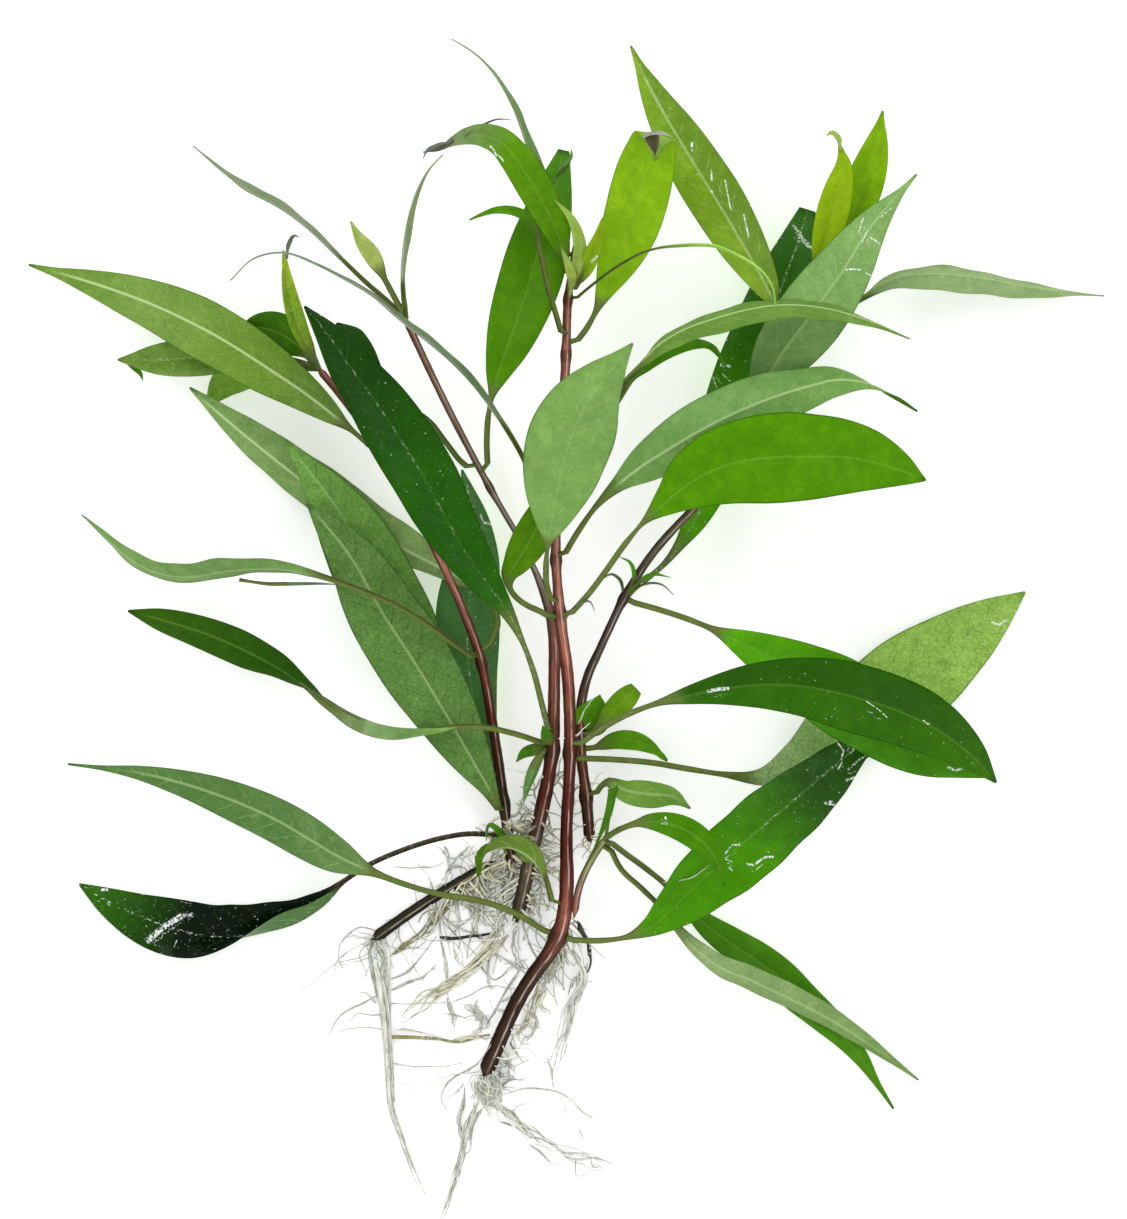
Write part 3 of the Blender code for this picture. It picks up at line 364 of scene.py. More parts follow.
@dataclass
class Midrib:
    """A leaf's course in mm, station by station.

    left and right reach from the middle to the two margins, up is the unit vector out of the upper face,
    and depth is half the stalk's depth.
    """

    middle: Array
    left: Array
    right: Array
    up: Array
    depth: Array

    @classmethod
    def of_node(cls, name: str) -> "Midrib":
        """Reads a leaf's course back from its node.

        At the widest ring the two nearest corners are the upper side and the underside, the fold's rise
        tells which is which, and forward tells left from right. From there each ring's corners follow
        the arrangement that lies nearest to its neighbour's, of those that edges join corner by corner.
        """
        rings, links = node_rings(name, LEAF_CORNERS)
        offsets = rings - rings.mean(axis=1, keepdims=True)
        widest = int(np.argmax(np.linalg.norm(offsets, axis=2).sum(axis=1)[1:-1])) + 1
        pairs = [(a, b) for a in range(LEAF_CORNERS) for b in range(a + 1, LEAF_CORNERS)]
        ring = rings[widest]
        top, bottom = min(pairs, key=lambda pair: np.linalg.norm(ring[pair[0]] - ring[pair[1]]))
        left, right = [k for k in range(LEAF_CORNERS) if k not in (top, bottom)]
        rise = (ring[left] + ring[right] - ring[top] - ring[bottom])
        if (ring[top] - ring[bottom]) @ rise < 0:
            top, bottom = bottom, top
        forward = rings[widest + 1].mean(axis=0) - rings[widest - 1].mean(axis=0)
        if (ring[left] - ring[right]) @ np.cross(ring[top] - ring[bottom], forward) < 0:
            left, right = right, left
        start = [left, top, right, bottom]
        rings[widest] = ring[start]
        orders = [list(order) for order in permutations(range(LEAF_CORNERS))]
        for step in (1, -1):
            before = start
            for at in range(widest + step, len(rings) if step > 0 else -1, step):
                link = links[at - 1] if step > 0 else links[at].T
                likely = [order for order in orders if link[before, order].all()]
                known = rings[at - step] - rings[at - step].mean(axis=0)
                own = rings[at] - rings[at].mean(axis=0)
                before = min(likely, key=lambda order: np.sum((own[order] - known) ** 2))
                rings[at] = rings[at][before]
        middle = (rings[:, 1] + rings[:, 3]) / 2
        return cls(middle, rings[:, 0] - middle, rings[:, 2] - middle, unit(rings[:, 1] - rings[:, 3]),
                   np.linalg.norm(rings[:, 1] - rings[:, 3], axis=1) / 2)

    @classmethod
    def of_route(cls, route: Route, width: float, stalk: float, roll: tuple[float, ...], fold: float,
                 belly: float = 0.45) -> "Midrib":
        """Lays out a small leaf that has no node.

        The width is a lens that is widest at belly, roll turns the blade about its midrib (0 faces up)
        and fold lifts both halves, in degrees.

        Args:
            route: (x, y, z) points in mm from the plant's lower left corner.
            width: the blade's full width in mm.
            stalk: bare share of the route.
            roll: degrees at even steps.
            fold: degrees.
            belly: where along the blade it is widest.

        Returns:
            The leaf's course.
        """
        points = from_photo_corner(route)
        knots = travelled(points)
        run = np.linspace(0, knots[-1], 24)
        middle = along(run, knots, points)
        forward = unit(np.gradient(middle, axis=0))
        side = unit(np.cross((0, 0, 1), forward))
        normal = np.cross(forward, side)
        blade = np.clip((run / run[-1] - stalk) / (1 - stalk), 0, 1)
        turn = np.radians(np.interp(blade, np.linspace(0, 1, len(roll)), roll))[:, None]
        left = side * np.cos(turn) + normal * np.sin(turn)
        up = normal * np.cos(turn) - side * np.sin(turn)
        lens = (blade / belly) ** (2 * belly) * ((1 - blade) / (1 - belly)) ** (2 - 2 * belly)
        half = np.maximum(lens * width / 2, np.linspace(0.45, 0.1, len(run)))[:, None]
        lift = up * half * np.sin(np.radians(fold)) * smoothstep(0, 0.3, blade)[:, None]
        out = left * half * np.cos(np.radians(fold))
        return cls(middle, out + lift, lift - out, up, np.linspace(0.42, 0.12, len(run)))

    def at(self, shares: Array) -> "Midrib":
        """The course carried smoothly to shares of its length."""
        knots = travelled(self.middle)
        places = shares * knots[-1]
        return Midrib(along(places, knots, self.middle), along(places, knots, self.left),
                      along(places, knots, self.right), unit(along(places, knots, self.up)),
                      np.interp(places, knots, self.depth))

    @property
    def length(self) -> float:
        """Length along the midrib in mm."""
        return float(travelled(self.middle)[-1])


# Meshes


@dataclass
class Skin:
    """A closed surface: a grid of points that runs along it and right round it, with a point at each end.

    points is (rows, around, 3) in mm. values holds (rows, around) arrays that become attributes, and
    colours an optional (rows, around, 3) array for the colour attribute "tone". slots gives the material
    slot of each column of faces.
    """

    points: Array
    values: dict[str, Array] = field(default_factory=dict)
    colours: Array | None = None
    slots: Array | None = None

    def arrays(self) -> tuple[Array, Array, Array]:
        """(vertices in mm, faces as four corner numbers, slot of each face).

        Vertex r * around + k is grid point (r, k), and the two last are the ends' middles. A triangle
        at an end repeats its last corner number.
        """
        rows, around, _ = self.points.shape
        r, k = np.meshgrid(np.arange(rows - 1), np.arange(around), indexing="ij")
        nxt = (k + 1) % around
        quads = np.stack([r * around + k, r * around + nxt, (r + 1) * around + nxt, (r + 1) * around + k], -1)
        k = np.arange(around)
        nxt = (k + 1) % around
        first, last = rows * around, rows * around + 1
        base = np.stack([nxt, k, np.full(around, first), np.full(around, first)], -1)
        tip_row = (rows - 1) * around
        tip = np.stack([tip_row + k, tip_row + nxt, np.full(around, last), np.full(around, last)], -1)
        vertices = self.spread(self.points)
        column = np.zeros(around, int) if self.slots is None else self.slots
        slots = np.concatenate([np.tile(column, rows - 1), column, column])
        return vertices, np.concatenate([quads.reshape(-1, 4), base, tip]), slots

    def spread(self, grid: Array) -> Array:
        """A (rows, around, ...) array as one value a vertex, the ends' middles taking their row's mean."""
        flat = grid.reshape(-1, *grid.shape[2:])
        return np.concatenate([flat, grid[0].mean(0)[None], grid[-1].mean(0)[None]])


def mesh_of(name: str, skins: list[Skin], materials: list[bpy.types.Material]) -> bpy.types.Object:
    """Joins skins into one mesh object in metres, facing outwards, with its attributes.

    Args:
        name: the piece's name.
        skins: the surfaces, all with the same attributes.
        materials: the piece's slots in order.

    Returns:
        The object, at the origin and in the scene.
    """
    vertices, faces, slots, start = [], [], [], 0
    for skin in skins:
        points, quads, slot = skin.arrays()
        a, b, c = points[quads[:, 0]], points[quads[:, 1]], points[quads[:, 2]]
        d = points[quads[:, 3]]
        volume = np.sum(a * np.cross(b, c)) + np.sum(a * np.cross(c, d))
        if volume < 0:
            quads = quads[:, [1, 0, 3, 2]]
        vertices.append(points)
        faces.append(quads + start)
        slots.append(slot)
        start += len(points)
    places = np.concatenate(vertices) * MM
    quads = np.concatenate(faces)
    corners = np.full(len(quads), 4)
    doubled = (quads[:, 2] == quads[:, 3]) | (quads[:, 0] == quads[:, 1])
    corners[doubled] = 3
    triangles = np.where((quads[:, 0] == quads[:, 1])[:, None], np.roll(quads, -1, axis=1), quads)
    loops = triangles[np.arange(4)[None] < corners[:, None]]
    mesh = bpy.data.meshes.new(name)
    mesh.vertices.add(len(places))
    mesh.vertices.foreach_set("co", places.ravel())
    mesh.loops.add(len(loops))
    mesh.loops.foreach_set("vertex_index", loops)
    mesh.polygons.add(len(quads))
    mesh.polygons.foreach_set("loop_start", np.concatenate([[0], np.cumsum(corners)[:-1]]))
    mesh.polygons.foreach_set("material_index", np.concatenate(slots))
    mesh.update(calc_edges=True)
    mesh.validate()
    mesh.shade_smooth()
    for key in skins[0].values:
        layer = mesh.attributes.new(key, "FLOAT", "POINT")
        numbers = np.concatenate([skin.spread(skin.values[key]) for skin in skins])
        layer.data.foreach_set("value", numbers.astype(np.float32))
    if skins[0].colours is not None:
        tones = np.concatenate([skin.spread(skin.colours) for skin in skins])
        tones = np.column_stack([tones, np.ones(len(tones))])
        layer = mesh.attributes.new("tone", "FLOAT_COLOR", "POINT")
        layer.data.foreach_set("color", tones.astype(np.float32).ravel())
    for made in materials:
        mesh.materials.append(made)
    piece = bpy.data.objects.new(name, mesh)
    bpy.context.scene.collection.objects.link(piece)
    return piece


def tubes(lines: Array, radii: Array, sides: int) -> Array:
    """Rings of points round lines, each ring's start carried along its line without twisting.

    Args:
        lines: (lines, stations, 3) points in mm.
        radii: (lines, stations, 1) radii, or (lines, stations, sides) for a section that isn't round.
        sides: points in a ring.

    Returns:
        (lines, stations, sides, 3) points in mm.
    """
    forward = unit(np.gradient(lines, axis=1))
    side = np.empty_like(lines)
    side[:, 0] = unit(np.cross(forward[:, 0], (0.31, 0.17, 0.94)))
    for i in range(1, lines.shape[1]):
        tilt = np.sum(side[:, i - 1] * forward[:, i], axis=1, keepdims=True)
        side[:, i] = unit(side[:, i - 1] - tilt * forward[:, i])
    other = np.cross(forward, side)
    angles = np.linspace(0, 2 * np.pi, sides, endpoint=False)[:, None]
    ring = side[:, :, None] * np.cos(angles) + other[:, :, None] * np.sin(angles)
    return lines[:, :, None] + ring * radii[..., None]


def above_table(points: Array, softness: float = 0.4) -> Array:
    """Points whose heights are bent up by a hyperbola, so that what would go through the table lies on it."""
    points = points.copy()
    points[..., 2] = 0.5 * (points[..., 2] + np.hypot(points[..., 2], softness))
    return points


# Shaders


class Shader:
    """A material while it is being made: each call adds one node and returns its output socket."""

    def __init__(self, name: str) -> None:
        """Starts from a material with a Principled shader."""
        self.material = bpy.data.materials.new(name)
        self.material.use_nodes = True
        self.tree = self.material.node_tree
        self.surface = self.tree.nodes["Principled BSDF"]

    def put(self, target: Socket, value: object) -> None:
        """Joins a socket to the target, or sets the target to a plain value."""
        if isinstance(value, Socket):
            self.tree.links.new(value, target)
        elif isinstance(value, tuple) and len(value) == 3 and target.type == "RGBA":
            target.default_value = (*value, 1)
        else:
            target.default_value = value

    def math(self, kind: str, a: object, b: object = 0.0, c: object = 0.0, clamp: bool = False) -> Socket:
        """A Math node of that kind."""
        node = self.tree.nodes.new("ShaderNodeMath")
        node.operation = kind
        node.use_clamp = clamp
        for socket, value in zip(node.inputs, (a, b, c)):
            self.put(socket, value)
        return node.outputs[0]

    def ramp(self, value: object, low: float, high: float, start: float = 0.0, end: float = 1.0) -> Socket:
        """value carried smoothly from low..high to start..end."""
        node = self.tree.nodes.new("ShaderNodeMapRange")
        node.interpolation_type = "SMOOTHSTEP"
        for socket, given in zip(node.inputs, (value, low, high, start, end)):
            self.put(socket, given)
        return node.outputs[0]

    def mix(self, share: object, a: object, b: object, blend: str = "MIX") -> Socket:
        """A colour between a and b."""
        node = self.tree.nodes.new("ShaderNodeMix")
        node.data_type = "RGBA"
        node.blend_type = blend
        self.put(node.inputs[0], share)
        self.put(node.inputs[6], a)
        self.put(node.inputs[7], b)
        return node.outputs[2]

    def times(self, a: object, b: object) -> Socket:
        """Two colours multiplied."""
        return self.mix(1.0, a, b, "MULTIPLY")

    def value(self, name: str) -> Socket:
        """The piece's own number attribute of that name."""
        node = self.tree.nodes.new("ShaderNodeAttribute")
        node.attribute_name = name
        return node.outputs["Fac"]

    def colour(self, name: str) -> Socket:
        """The piece's own colour attribute of that name."""
        node = self.tree.nodes.new("ShaderNodeAttribute")
        node.attribute_name = name
        return node.outputs["Color"]

    def place(self, x: object, y: object, z: object = 0.0) -> Socket:
        """A vector of three numbers."""
        node = self.tree.nodes.new("ShaderNodeCombineXYZ")
        for socket, value in zip(node.inputs, (x, y, z)):
            self.put(socket, value)
        return node.outputs[0]

    def object_place(self) -> Socket:
        """The piece's Object coordinates."""
        return self.tree.nodes.new("ShaderNodeTexCoord").outputs["Object"]

    def noise(self, vector: object, scale: float, detail: float = 3.0, rough: float = 0.55) -> Socket:
        """Noise about 0.5."""
        node = self.tree.nodes.new("ShaderNodeTexNoise")
        self.put(node.inputs["Vector"], vector)
        for key, given in (("Scale", scale), ("Detail", detail), ("Roughness", rough)):
            node.inputs[key].default_value = given
        return node.outputs["Fac"]

    def cells(self, vector: object, scale: float, feature: str = "DISTANCE_TO_EDGE") -> Socket:
        """Distance within a pattern of cells."""
        node = self.tree.nodes.new("ShaderNodeTexVoronoi")
        node.feature = feature
        self.put(node.inputs["Vector"], vector)
        node.inputs["Scale"].default_value = scale
        return node.outputs["Distance"]

    def bump(self, height: object, distance: float, strength: float = 1.0, after: object = None) -> Socket:
        """A Bump node, distance in metres."""
        node = self.tree.nodes.new("ShaderNodeBump")
        node.inputs["Strength"].default_value = strength
        node.inputs["Distance"].default_value = distance
        self.put(node.inputs["Height"], height)
        if after is not None:
            self.put(node.inputs["Normal"], after)
        return node.outputs[0]

    def finish(self, **sockets: object) -> bpy.types.Material:
        """Sets the Principled shader's sockets, with _ for a space, and returns the material."""
        for key, value in sockets.items():
            self.put(self.surface.inputs[key.replace("_", " ")], value)
        return self.material


@dataclass(frozen=True)
class LeafFinish:
    """The finish of one face of the leaves.

    The face's colour is the attribute tone. Veins are drawn from the attributes along and across, in mm:
    a side vein leaves the midrib every vein_gap mm, slants forward by lean mm for each mm outwards and
    bends on towards the tip.
    """

    name: str
    rib_light: float  # share by which the midrib turns pale
    side_light: float  # the same for a side vein where the net is faint
    side_dark: float  # share by which a side vein darkens where the net is strong
    net_dark: float
    roughness: float
    coat: float
    midrib: Colour
    vein_gap: float = 6.2
    lean: float = 0.75
    bend: float = 0.55

    def make(self) -> bpy.types.Material:
        """Builds the material."""
        s = Shader(self.name)
        run, out, half = s.value("along"), s.value("across"), s.value("half")
        tone, net, wet, stalk = s.colour("tone"), s.value("net"), s.value("wet"), s.value("stalk")
        leaf = s.value("leaf")
        off = s.math("ABSOLUTE", out)
        flat = s.place(out, run, s.math("MULTIPLY", leaf, 37.0))
        cloud = s.noise(flat, 0.12, 2.0)
        mottle = s.noise(flat, 1.1, 3.0)
        stipple = s.noise(flat, 2.3, 2.0, 0.7)
        grain = s.noise(flat, 5.0, 2.0)
        blade = s.math("SUBTRACT", 1.0, stalk)
        # The pattern of the side veins: their place along the midrib, less how far the vein has slanted.
        share = s.math("DIVIDE", off, s.math("MAXIMUM", half, 0.5))
        slant = s.math("MULTIPLY", off, s.math("MULTIPLY_ADD", share, self.bend, self.lean))
        bent = s.noise(flat, 0.4, 2.0)
        sway = s.math("MULTIPLY_ADD", s.math("SUBTRACT", cloud, 0.5), 4.0, s.math("MULTIPLY", bent, 1.6))
        side = s.math("MULTIPLY", s.math("SIGN", out), 0.31)
        back = s.math("ADD", s.math("SUBTRACT", run, slant), sway)
        turns = s.math("ADD", s.math("DIVIDE", back, self.vein_gap), side)
        far = s.math("ABSOLUTE", s.math("SUBTRACT", s.math("FRACT", turns), 0.5))
        far = s.math("MULTIPLY", far, self.vein_gap)
        fade = s.math("MULTIPLY", s.ramp(share, 0.98, 0.55), blade)
        fade = s.math("MULTIPLY", fade, s.ramp(bent, 0.36, 0.56))
        vein = s.math("MULTIPLY", s.ramp(far, 0.30, 0.05), fade)
        between = s.math("MULTIPLY", s.ramp(far, 0.3, self.vein_gap * 0.5), fade)
        rib = s.math("MULTIPLY", s.math("MULTIPLY", s.ramp(off, 0.42, 0.16), s.ramp(half, 0.6, 3.0)), blade)
        web = s.math("MULTIPLY", s.ramp(s.cells(flat, 0.62), 0.10, 0.02), net)
        colour = s.mix(s.ramp(cloud, 0.25, 0.8), s.times(tone, (0.82, 0.86, 0.82)), tone)
        colour = s.mix(s.math("MULTIPLY", between, 0.3), colour, s.times(colour, (1.18, 1.12, 1.1)))
        patch = s.noise(flat, 0.3, 3.0, 0.6)
        colour = s.mix(s.ramp(patch, 0.35, 0.68, 0.0, 0.45), colour, s.times(colour, (0.72, 0.78, 0.66)))
        colour = s.mix(s.ramp(patch, 0.48, 0.3, 0.0, 0.4), colour, s.times(colour, (1.3, 1.18, 1.2)))
        pale = s.math("MULTIPLY", s.ramp(stipple, 0.48, 0.34), s.math("MULTIPLY_ADD", net, 0.35, 0.12))
        colour = s.mix(pale, colour, s.times(colour, (1.45, 1.35, 1.5)))
        dark = s.math("MULTIPLY", s.ramp(stipple, 0.52, 0.66), s.math("MULTIPLY_ADD", net, 0.5, 0.12))
        colour = s.mix(dark, colour, s.times(colour, (0.55, 0.64, 0.5)))
        spots = s.math("MULTIPLY", s.ramp(mottle, 0.42, 0.72), s.math("MULTIPLY_ADD", net, 0.3, 0.14))
        colour = s.mix(spots, colour, s.times(colour, (0.62, 0.72, 0.62)))
        colour = s.mix(s.math("MULTIPLY", web, self.net_dark), colour, s.times(colour, (0.5, 0.62, 0.45)))
        strong = s.ramp(net, 0.35, 0.85)
        pale_vein = s.mix(self.side_light, colour, self.midrib)
        dark_vein = s.mix(self.side_dark, colour, s.times(colour, (0.25, 0.36, 0.2)))
        colour = s.mix(vein, colour, s.mix(strong, pale_vein, dark_vein))
        shown = s.math("MULTIPLY", s.math("MULTIPLY", rib, s.value("rib")), self.rib_light)
        colour = s.mix(shown, colour, self.midrib)
        rim = s.math("MULTIPLY", s.ramp(share, 0.94, 0.995), blade)
        colour = s.mix(s.math("MULTIPLY", rim, 0.6), colour, s.times(colour, (0.3, 0.38, 0.25)))
        # Painted shade on the flanks of the round stalk.
        flank = s.math("MULTIPLY", s.ramp(share, 0.55, 1.0), stalk)
        colour = s.mix(s.math("MULTIPLY", flank, 0.75), colour, s.times(colour, (0.3, 0.28, 0.3)))
        blush = s.math("MULTIPLY", s.math("MULTIPLY", stalk, s.ramp(mottle, 0.4, 0.65)), 0.3)
        colour = s.mix(blush, colour, (0.22, 0.10, 0.05))
        # Painted highlights where the leaf is wet: glints along the midrib, in broken rims and in small
        # specks, and the long gleams, all near-white in the base colour.
        soaked = s.ramp(wet, 0.55, 0.95)
        dots = s.noise(s.place(s.math("MULTIPLY", out, 2.6), s.math("MULTIPLY", run, 1.1),
                               s.math("MULTIPLY", leaf, 11.0)), 1.0, 1.0)
        dotted = s.math("MULTIPLY", s.ramp(dots, 0.58, 0.66), s.ramp(off, 0.45, 0.15))
        pool = s.noise(s.place(out, run, s.math("MULTIPLY", leaf, 5.0)), 0.42, 1.5)
        level = s.ramp(s.math("ABSOLUTE", s.math("SUBTRACT", pool, 0.5)), 0.007, 0.002)
        broken = s.math("MULTIPLY", level, s.ramp(s.noise(flat, 1.6, 1.0), 0.60, 0.66))
        painted_glint = s.math("MULTIPLY", s.math("MAXIMUM", dotted, broken), soaked)
        inside = s.ramp(s.math("ABSOLUTE", s.value("gleam_side")), 1.05, 0.55)
        gleam = s.math("MULTIPLY", inside, s.ramp(s.value("gleam_end"), 0.7, 0.1))
        wavering = s.ramp(s.noise(flat, 1.5, 3.0, 0.75), 0.42, 0.56)
        speck_glints = s.math("MULTIPLY", s.ramp(s.cells(flat, 0.5, "F1"), 0.11, 0.06), s.ramp(wet, 0.2, 0.9))
        speck_glints = s.math("MULTIPLY", speck_glints, s.ramp(s.noise(flat, 0.22, 2.0), 0.48, 0.56))
        painted_glint = s.math("MAXIMUM", s.math("MULTIPLY", painted_glint, 0.6), s.math("MULTIPLY", speck_glints, 0.6))
        painted_glint = s.math("MAXIMUM", painted_glint, s.math("MULTIPLY", gleam, wavering))
        colour = s.mix(painted_glint, colour, (0.86, 0.92, 0.88))
        rough = s.math("MULTIPLY_ADD", s.math("SUBTRACT", mottle, 0.5), 0.2, self.roughness)
        rough = s.math("SUBTRACT", rough, s.math("MULTIPLY", wet, 0.1), clamp=True)
        height = s.math("MULTIPLY_ADD", grain, 0.25, s.math("MULTIPLY", s.math("SUBTRACT", 1.0, web), 0.5))
        return s.finish(Base_Color=colour, Roughness=rough, Normal=s.bump(height, 0.00012, 0.6),
                        Coat_Weight=s.math("MULTIPLY", wet, self.coat), Coat_Roughness=0.12, IOR=1.38,
                        Specular_IOR_Level=0.05)


UPPER_FINISH = LeafFinish("leaf_upper_face", rib_light=0.45, side_light=0.07, side_dark=0.3, net_dark=0.25,
                          roughness=0.42, coat=0.10, midrib=(0.24, 0.42, 0.06))
UNDER_FINISH = LeafFinish("leaf_underside", rib_light=0.85, side_light=0.26, side_dark=0.5, net_dark=0.4,
                          roughness=0.5, coat=0.08, midrib=(0.46, 0.62, 0.28))


@dataclass(frozen=True)
class StemFinish:
    """The skin of a stem: streaks along it, between two colours, darker at its nodes, with painted shade on
    its flanks and a painted highlight.
    """

    name: str
    streak: Colour
    scar: Colour
    roughness: float = 0.3

    def make(self) -> bpy.types.Material:
        """Builds the material from the attributes tone, along, turn and node, and the painted shade and
        highlight from crown and flank.
        """
        s = Shader(self.name)
        run, turn, node = s.value("along"), s.value("turn"), s.value("node")
        x = s.math("MULTIPLY", s.math("SINE", turn), 2.2)
        y = s.math("MULTIPLY", s.math("COSINE", turn), 2.2)
        streaks = s.noise(s.place(x, y, s.math("MULTIPLY", run, 0.12)), 1.5, 4.0, 0.6)
        blotch = s.noise(s.place(x, y, s.math("MULTIPLY", run, 0.5)), 0.35, 3.0)
        tone = s.colour("tone")
        colour = s.mix(s.ramp(streaks, 0.42, 0.66), tone, s.times(tone, self.streak))
        colour = s.mix(s.math("MULTIPLY", s.ramp(blotch, 0.5, 0.75), 0.4), colour, self.scar)
        colour = s.mix(s.math("MULTIPLY", node, 0.55), colour, self.scar)
        # Painted shade on the flanks, the left one wider, and a painted highlight: a broken line of light off
        # the middle.
        crown, flank = s.value("crown"), s.value("flank")
        painted_flank_shade = s.math("MAXIMUM", s.ramp(flank, 0.1, 0.85), s.ramp(flank, -0.5, -0.98))
        colour = s.mix(s.math("MULTIPLY", painted_flank_shade, 0.92), colour, s.times(colour, (0.20, 0.14, 0.13)))
        drift = s.noise(s.place(0.37, run, 0.71), 0.11, 3.0)
        line = s.math("ABSOLUTE", s.math("ADD", flank, s.math("MULTIPLY_ADD", drift, 0.5, -0.03)))
        painted_shine = s.math("MULTIPLY", s.ramp(line, 0.17, 0.05), s.ramp(crown, 0.3, 0.7))
        painted_shine = s.math("MULTIPLY", painted_shine, s.ramp(drift, 0.40, 0.60, 0.15, 0.75))
        colour = s.mix(painted_shine, colour, s.mix(0.5, tone, (1.0, 0.86, 0.78)))
        rough = s.math("MULTIPLY_ADD", streaks, 0.3, self.roughness - 0.1)
        return s.finish(Base_Color=colour, Roughness=rough, Normal=s.bump(streaks, 0.00025, 0.7),
                        Coat_Weight=0.06, Coat_Roughness=0.15, IOR=1.4, Specular_IOR_Level=0.06)


# Leaves


ACROSS = np.array([1, 0.985, 0.95, 0.89, 0.8, 0.69, 0.57, 0.45, 0.34, 0.24, 0.155, 0.09, 0.04, 0])
TOP_COLUMNS = np.concatenate([ACROSS, -ACROSS[-2::-1]])


@dataclass
class Leaf:
    """One leaf: a blade with its midrib, side veins, waves and margins on a round stalk.

    Sizes are in mm. The blade is a mid-surface with a thickness laid off on either side along its normal.
    """

    name: str
    course: Midrib
    look: LeafLook
    seed: int
    blade_half: float = 0.14
    rib_reach: float = 0.5  # how far the midrib stands out below the blade
    rib_width: float = 0.55
    groove: float = 0.16
    quilting: float = 0.06  # depth of a side vein in the upper face
    vein_gap: float = 6.2
    row_step: float = 1.05
    crease: float = 0.13  # share of the half-width over which the fold is rounded
    base: Array | None = None  # where the stalk starts inside the stem
    gleams: tuple[tuple[float, Route], ...] = ()

    def rows(self) -> Array:
        """Shares along the leaf for the rows of the grid, closer towards the tip."""
        count = int(np.clip(self.course.length / self.row_step, 26, 200))
        even = np.linspace(0, 1, count)
        return 1 - (1 - even) ** 1.12

    def build(self, finishes: list[bpy.types.Material]) -> bpy.types.Object:
        """Works out the leaf's surface and returns its object.

        The point at share u across and s along is: middle + out * u + rise * (|u|, rounded near 0)
        + up * (a wave that grows towards the margin - a shallow channel over each side vein).
        """
        course = self.course
        rows = self.rows()
        at = course.at(rows)
        run = rows * course.length
        u = TOP_COLUMNS[None, :]
        half = (np.linalg.norm(at.left, axis=1) + np.linalg.norm(at.right, axis=1)) / 2
        out = (at.left - at.right) / 2
        rise = (at.left + at.right) / 2
        stalk = 1 - smoothstep(1.0, 2.6, half)
        stalk[np.argmax(half):] = 0
        waist = stalk[:, None]
        out = out * (1 - waist * (1 - self.look.slim))

        edge = 1 + 0.014 * np.stack([ripple(run, (47, 23), self.seed + k) for k in (1, 2)], 1) * (1 - waist)
        width = np.where(u > 0, edge[:, :1], edge[:, 1:])
        lift = (np.sqrt(u**2 + self.crease**2) - self.crease) / (np.sqrt(1 + self.crease**2) - self.crease)
        size = np.minimum(1, half / 8)[:, None]
        waves = np.stack([ripple(run, (23, 41, 12), self.seed + k) for k in (3, 4)], 1) * self.look.wave
        wave = np.where(u > 0, waves[:, :1], waves[:, 1:]) * np.abs(u) ** 2.2 * size
        x = np.abs(u) * half[:, None]
        slanted = run[:, None] - x * (0.75 + 0.55 * np.abs(u))
        vein = np.cos(2 * np.pi * (slanted / self.vein_gap + 0.31 * np.sign(u)))
        quilt = self.quilting * vein * smoothstep(0.03, 0.3, np.abs(u)) * smoothstep(1, 0.6, np.abs(u)) * size
        arch = 0.035 * half[:, None] * 4 * (u**2 - u**4)
        height = (wave + quilt + arch) * (1 - waist)
        middle = (at.middle[:, None] + out[:, None] * (u * width)[..., None] + rise[:, None] * lift[..., None]
                  + at.up[:, None] * height[..., None])
        normal = unit(np.cross(np.gradient(middle, axis=0), np.gradient(middle, axis=1)))
        normal *= np.sign(np.sum(normal * at.up[:, None], axis=-1, keepdims=True).sum(axis=1, keepdims=True))
        normal = unit(normal * (1 - waist[..., None]) + at.up[:, None] * waist[..., None])

        round_share = np.sqrt(np.clip(1 - u**2, 0, 1))
        thin = self.blade_half * (1 - np.abs(u) ** 6) * (1 - 0.5 * rows[:, None] ** 3)
        taper = (1 - 0.75 * smoothstep(0.3, 1, rows))[:, None]
        rib = self.rib_reach * taper * np.exp(-((x / self.rib_width) ** 2))
        groove = self.groove * taper * np.exp(-((x / 0.45) ** 2))
        # Out on the stalk the same columns make an ellipse.
        stalk_depth = self.look.slim * at.depth[:, None] * (1 + 0.35 * np.exp(-run[:, None] / 1.5))
        above = waist * stalk_depth * round_share + (1 - waist) * (thin - groove * (1 - np.abs(u)))
        below = waist * stalk_depth * round_share + (1 - waist) * (thin + rib * (1 - np.abs(u)))
        top = middle + normal * above[..., None]
        under = (middle - normal * below[..., None])[:, -2:0:-1]
        points = np.concatenate([top, under], axis=1)
        if self.base is not None:
            points[0] += self.base - at.middle[0]
        points = above_table(points)

        columns = np.concatenate([TOP_COLUMNS, TOP_COLUMNS[-2:0:-1]])[None]
        grid = np.ones_like(points[..., 0])
        on_top = (np.arange(points.shape[1]) < len(TOP_COLUMNS))[None, :, None]
        tones = np.where(on_top, self.tones(self.look.upper, rows)[:, None],
                         self.tones(self.look.under, rows)[:, None])
